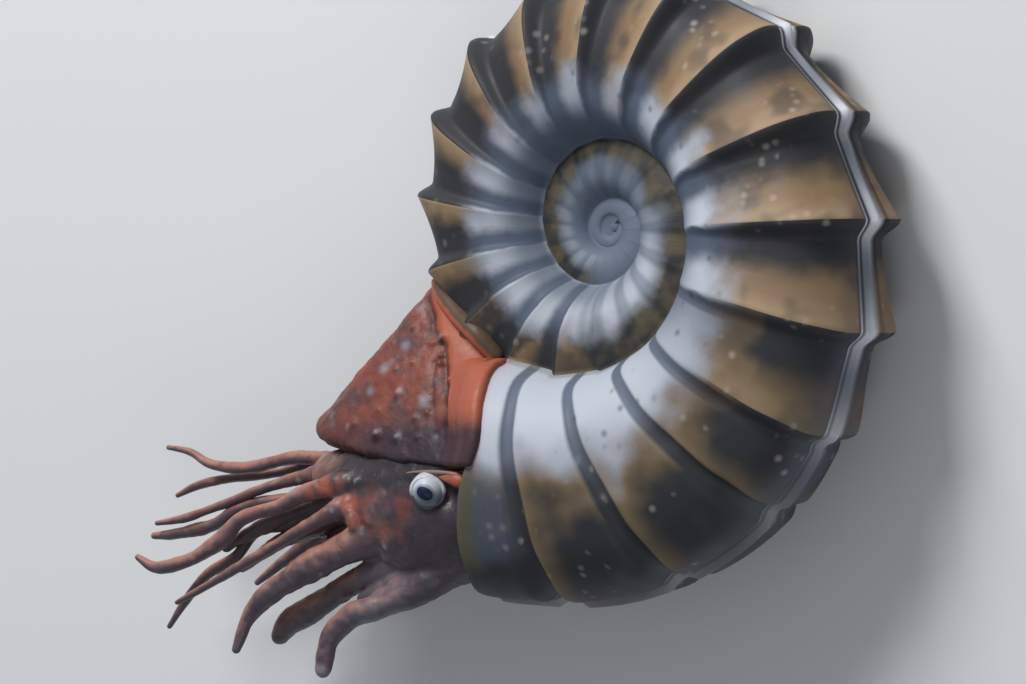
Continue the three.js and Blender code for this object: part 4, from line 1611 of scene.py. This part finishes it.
def make_eye(name, side):
    bpy.ops.object.select_all(action="DESELECT")
    bpy.ops.mesh.primitive_uv_sphere_add(segments=64, ring_count=40, radius=EYE_RADIUS)
    eye = bpy.context.object
    for vertex in eye.data.vertices:
        angle = vertex.co.angle(Vector((0, 0, 1)))
        swell = CORNEA_BULGE * (0.5 + 0.5 * math.cos(math.pi * min(angle / CORNEA_ANGLE, 1)))
        vertex.co *= 1 + swell / EYE_RADIUS
    return turn_outwards(eye, name, GAZE, side, 0)


def make_lid(name, side):
    bpy.ops.object.select_all(action="DESELECT")
    bpy.ops.mesh.primitive_torus_add(**LID_SIZE)
    lid = bpy.context.object
    for vertex in lid.data.vertices:
        vertex.co.x *= LID_HEIGHT
    return turn_outwards(lid, name, LID_FACING, side, LID_OFFSET)


print("an eye is", 2 * EYE_RADIUS, "mm across")

# %% [markdown]
# ## The colours of the eyes
# The ball is white above and teal below, a split of painted light and shade, with a dark blue
# oval pupil inside a soft teal ring. The ball's own texture coordinates say how far a point is
# from the pupil's middle. The lid turns from white to purple-grey on its lower side, as painted
# shade.

# %% Finish the eyes and hand them over
PUPIL_ANGLE = 0.4
PUPIL_STRETCH = 0.07
PUPIL_TURN = 0.25
EYE_WHITE = tone(182, 186, 196)
EYE_TEAL = tone(90, 106, 118)
PUPIL = tone(24, 32, 58)


def eye_finish():
    finish = Finish("eye_finish")
    place = finish.place()
    _, height = finish.parts(place)
    round_share, up_share = finish.parts(finish.node("ShaderNodeUVMap", {"uv_map": "UVMap"}))
    edge = PUPIL_ANGLE + ((round_share + PUPIL_TURN) * 2).wave() * PUPIL_STRETCH
    past_edge = (1 - up_share) * math.pi - edge
    # painted shade: teal on the lower side of the ball
    shaded_side = height.ramp(-78.5, -84.5) + finish.noise(place, 3) * 0.4 - 0.2
    colour = finish.layers(
        EYE_WHITE,
        (EYE_TEAL, shaded_side * 0.9),
        (EYE_TEAL, past_edge.band(-0.05, 0.14, 0.05) * 0.6),
        (PUPIL, past_edge.ramp(0.03, -0.03)),
    )
    finish.feed("Base Color", colour)
    finish.feed("Roughness", 0.36)
    finish.feed("Specular IOR Level", 0.2)
    return finish.paint


def lid_finish():
    finish = Finish("lid_finish")
    place = finish.place()
    _, height = finish.parts(place)
    # painted shade: the lid turns purple-grey on its lower side
    shaded_side = height.ramp(-79, -85) + finish.noise(place, 3) - 0.5
    finish.feed("Base Color", finish.blend(EYE_WHITE, PURPLE_GREY, shaded_side.ramp(0, 0.9)))
    finish.feed("Roughness", 0.38)
    finish.bump(finish.noise(place, 0.8), 0.2)
    return finish.paint


eye_paint = eye_finish()
lid_paint = lid_finish()
for name, side in (("left", 1), ("right", -1)):
    put_in_place(make_eye("eye_skin_" + name, side), "eye_" + name, eye_paint)
    put_in_place(make_lid("lid_" + name, side), None, lid_paint)
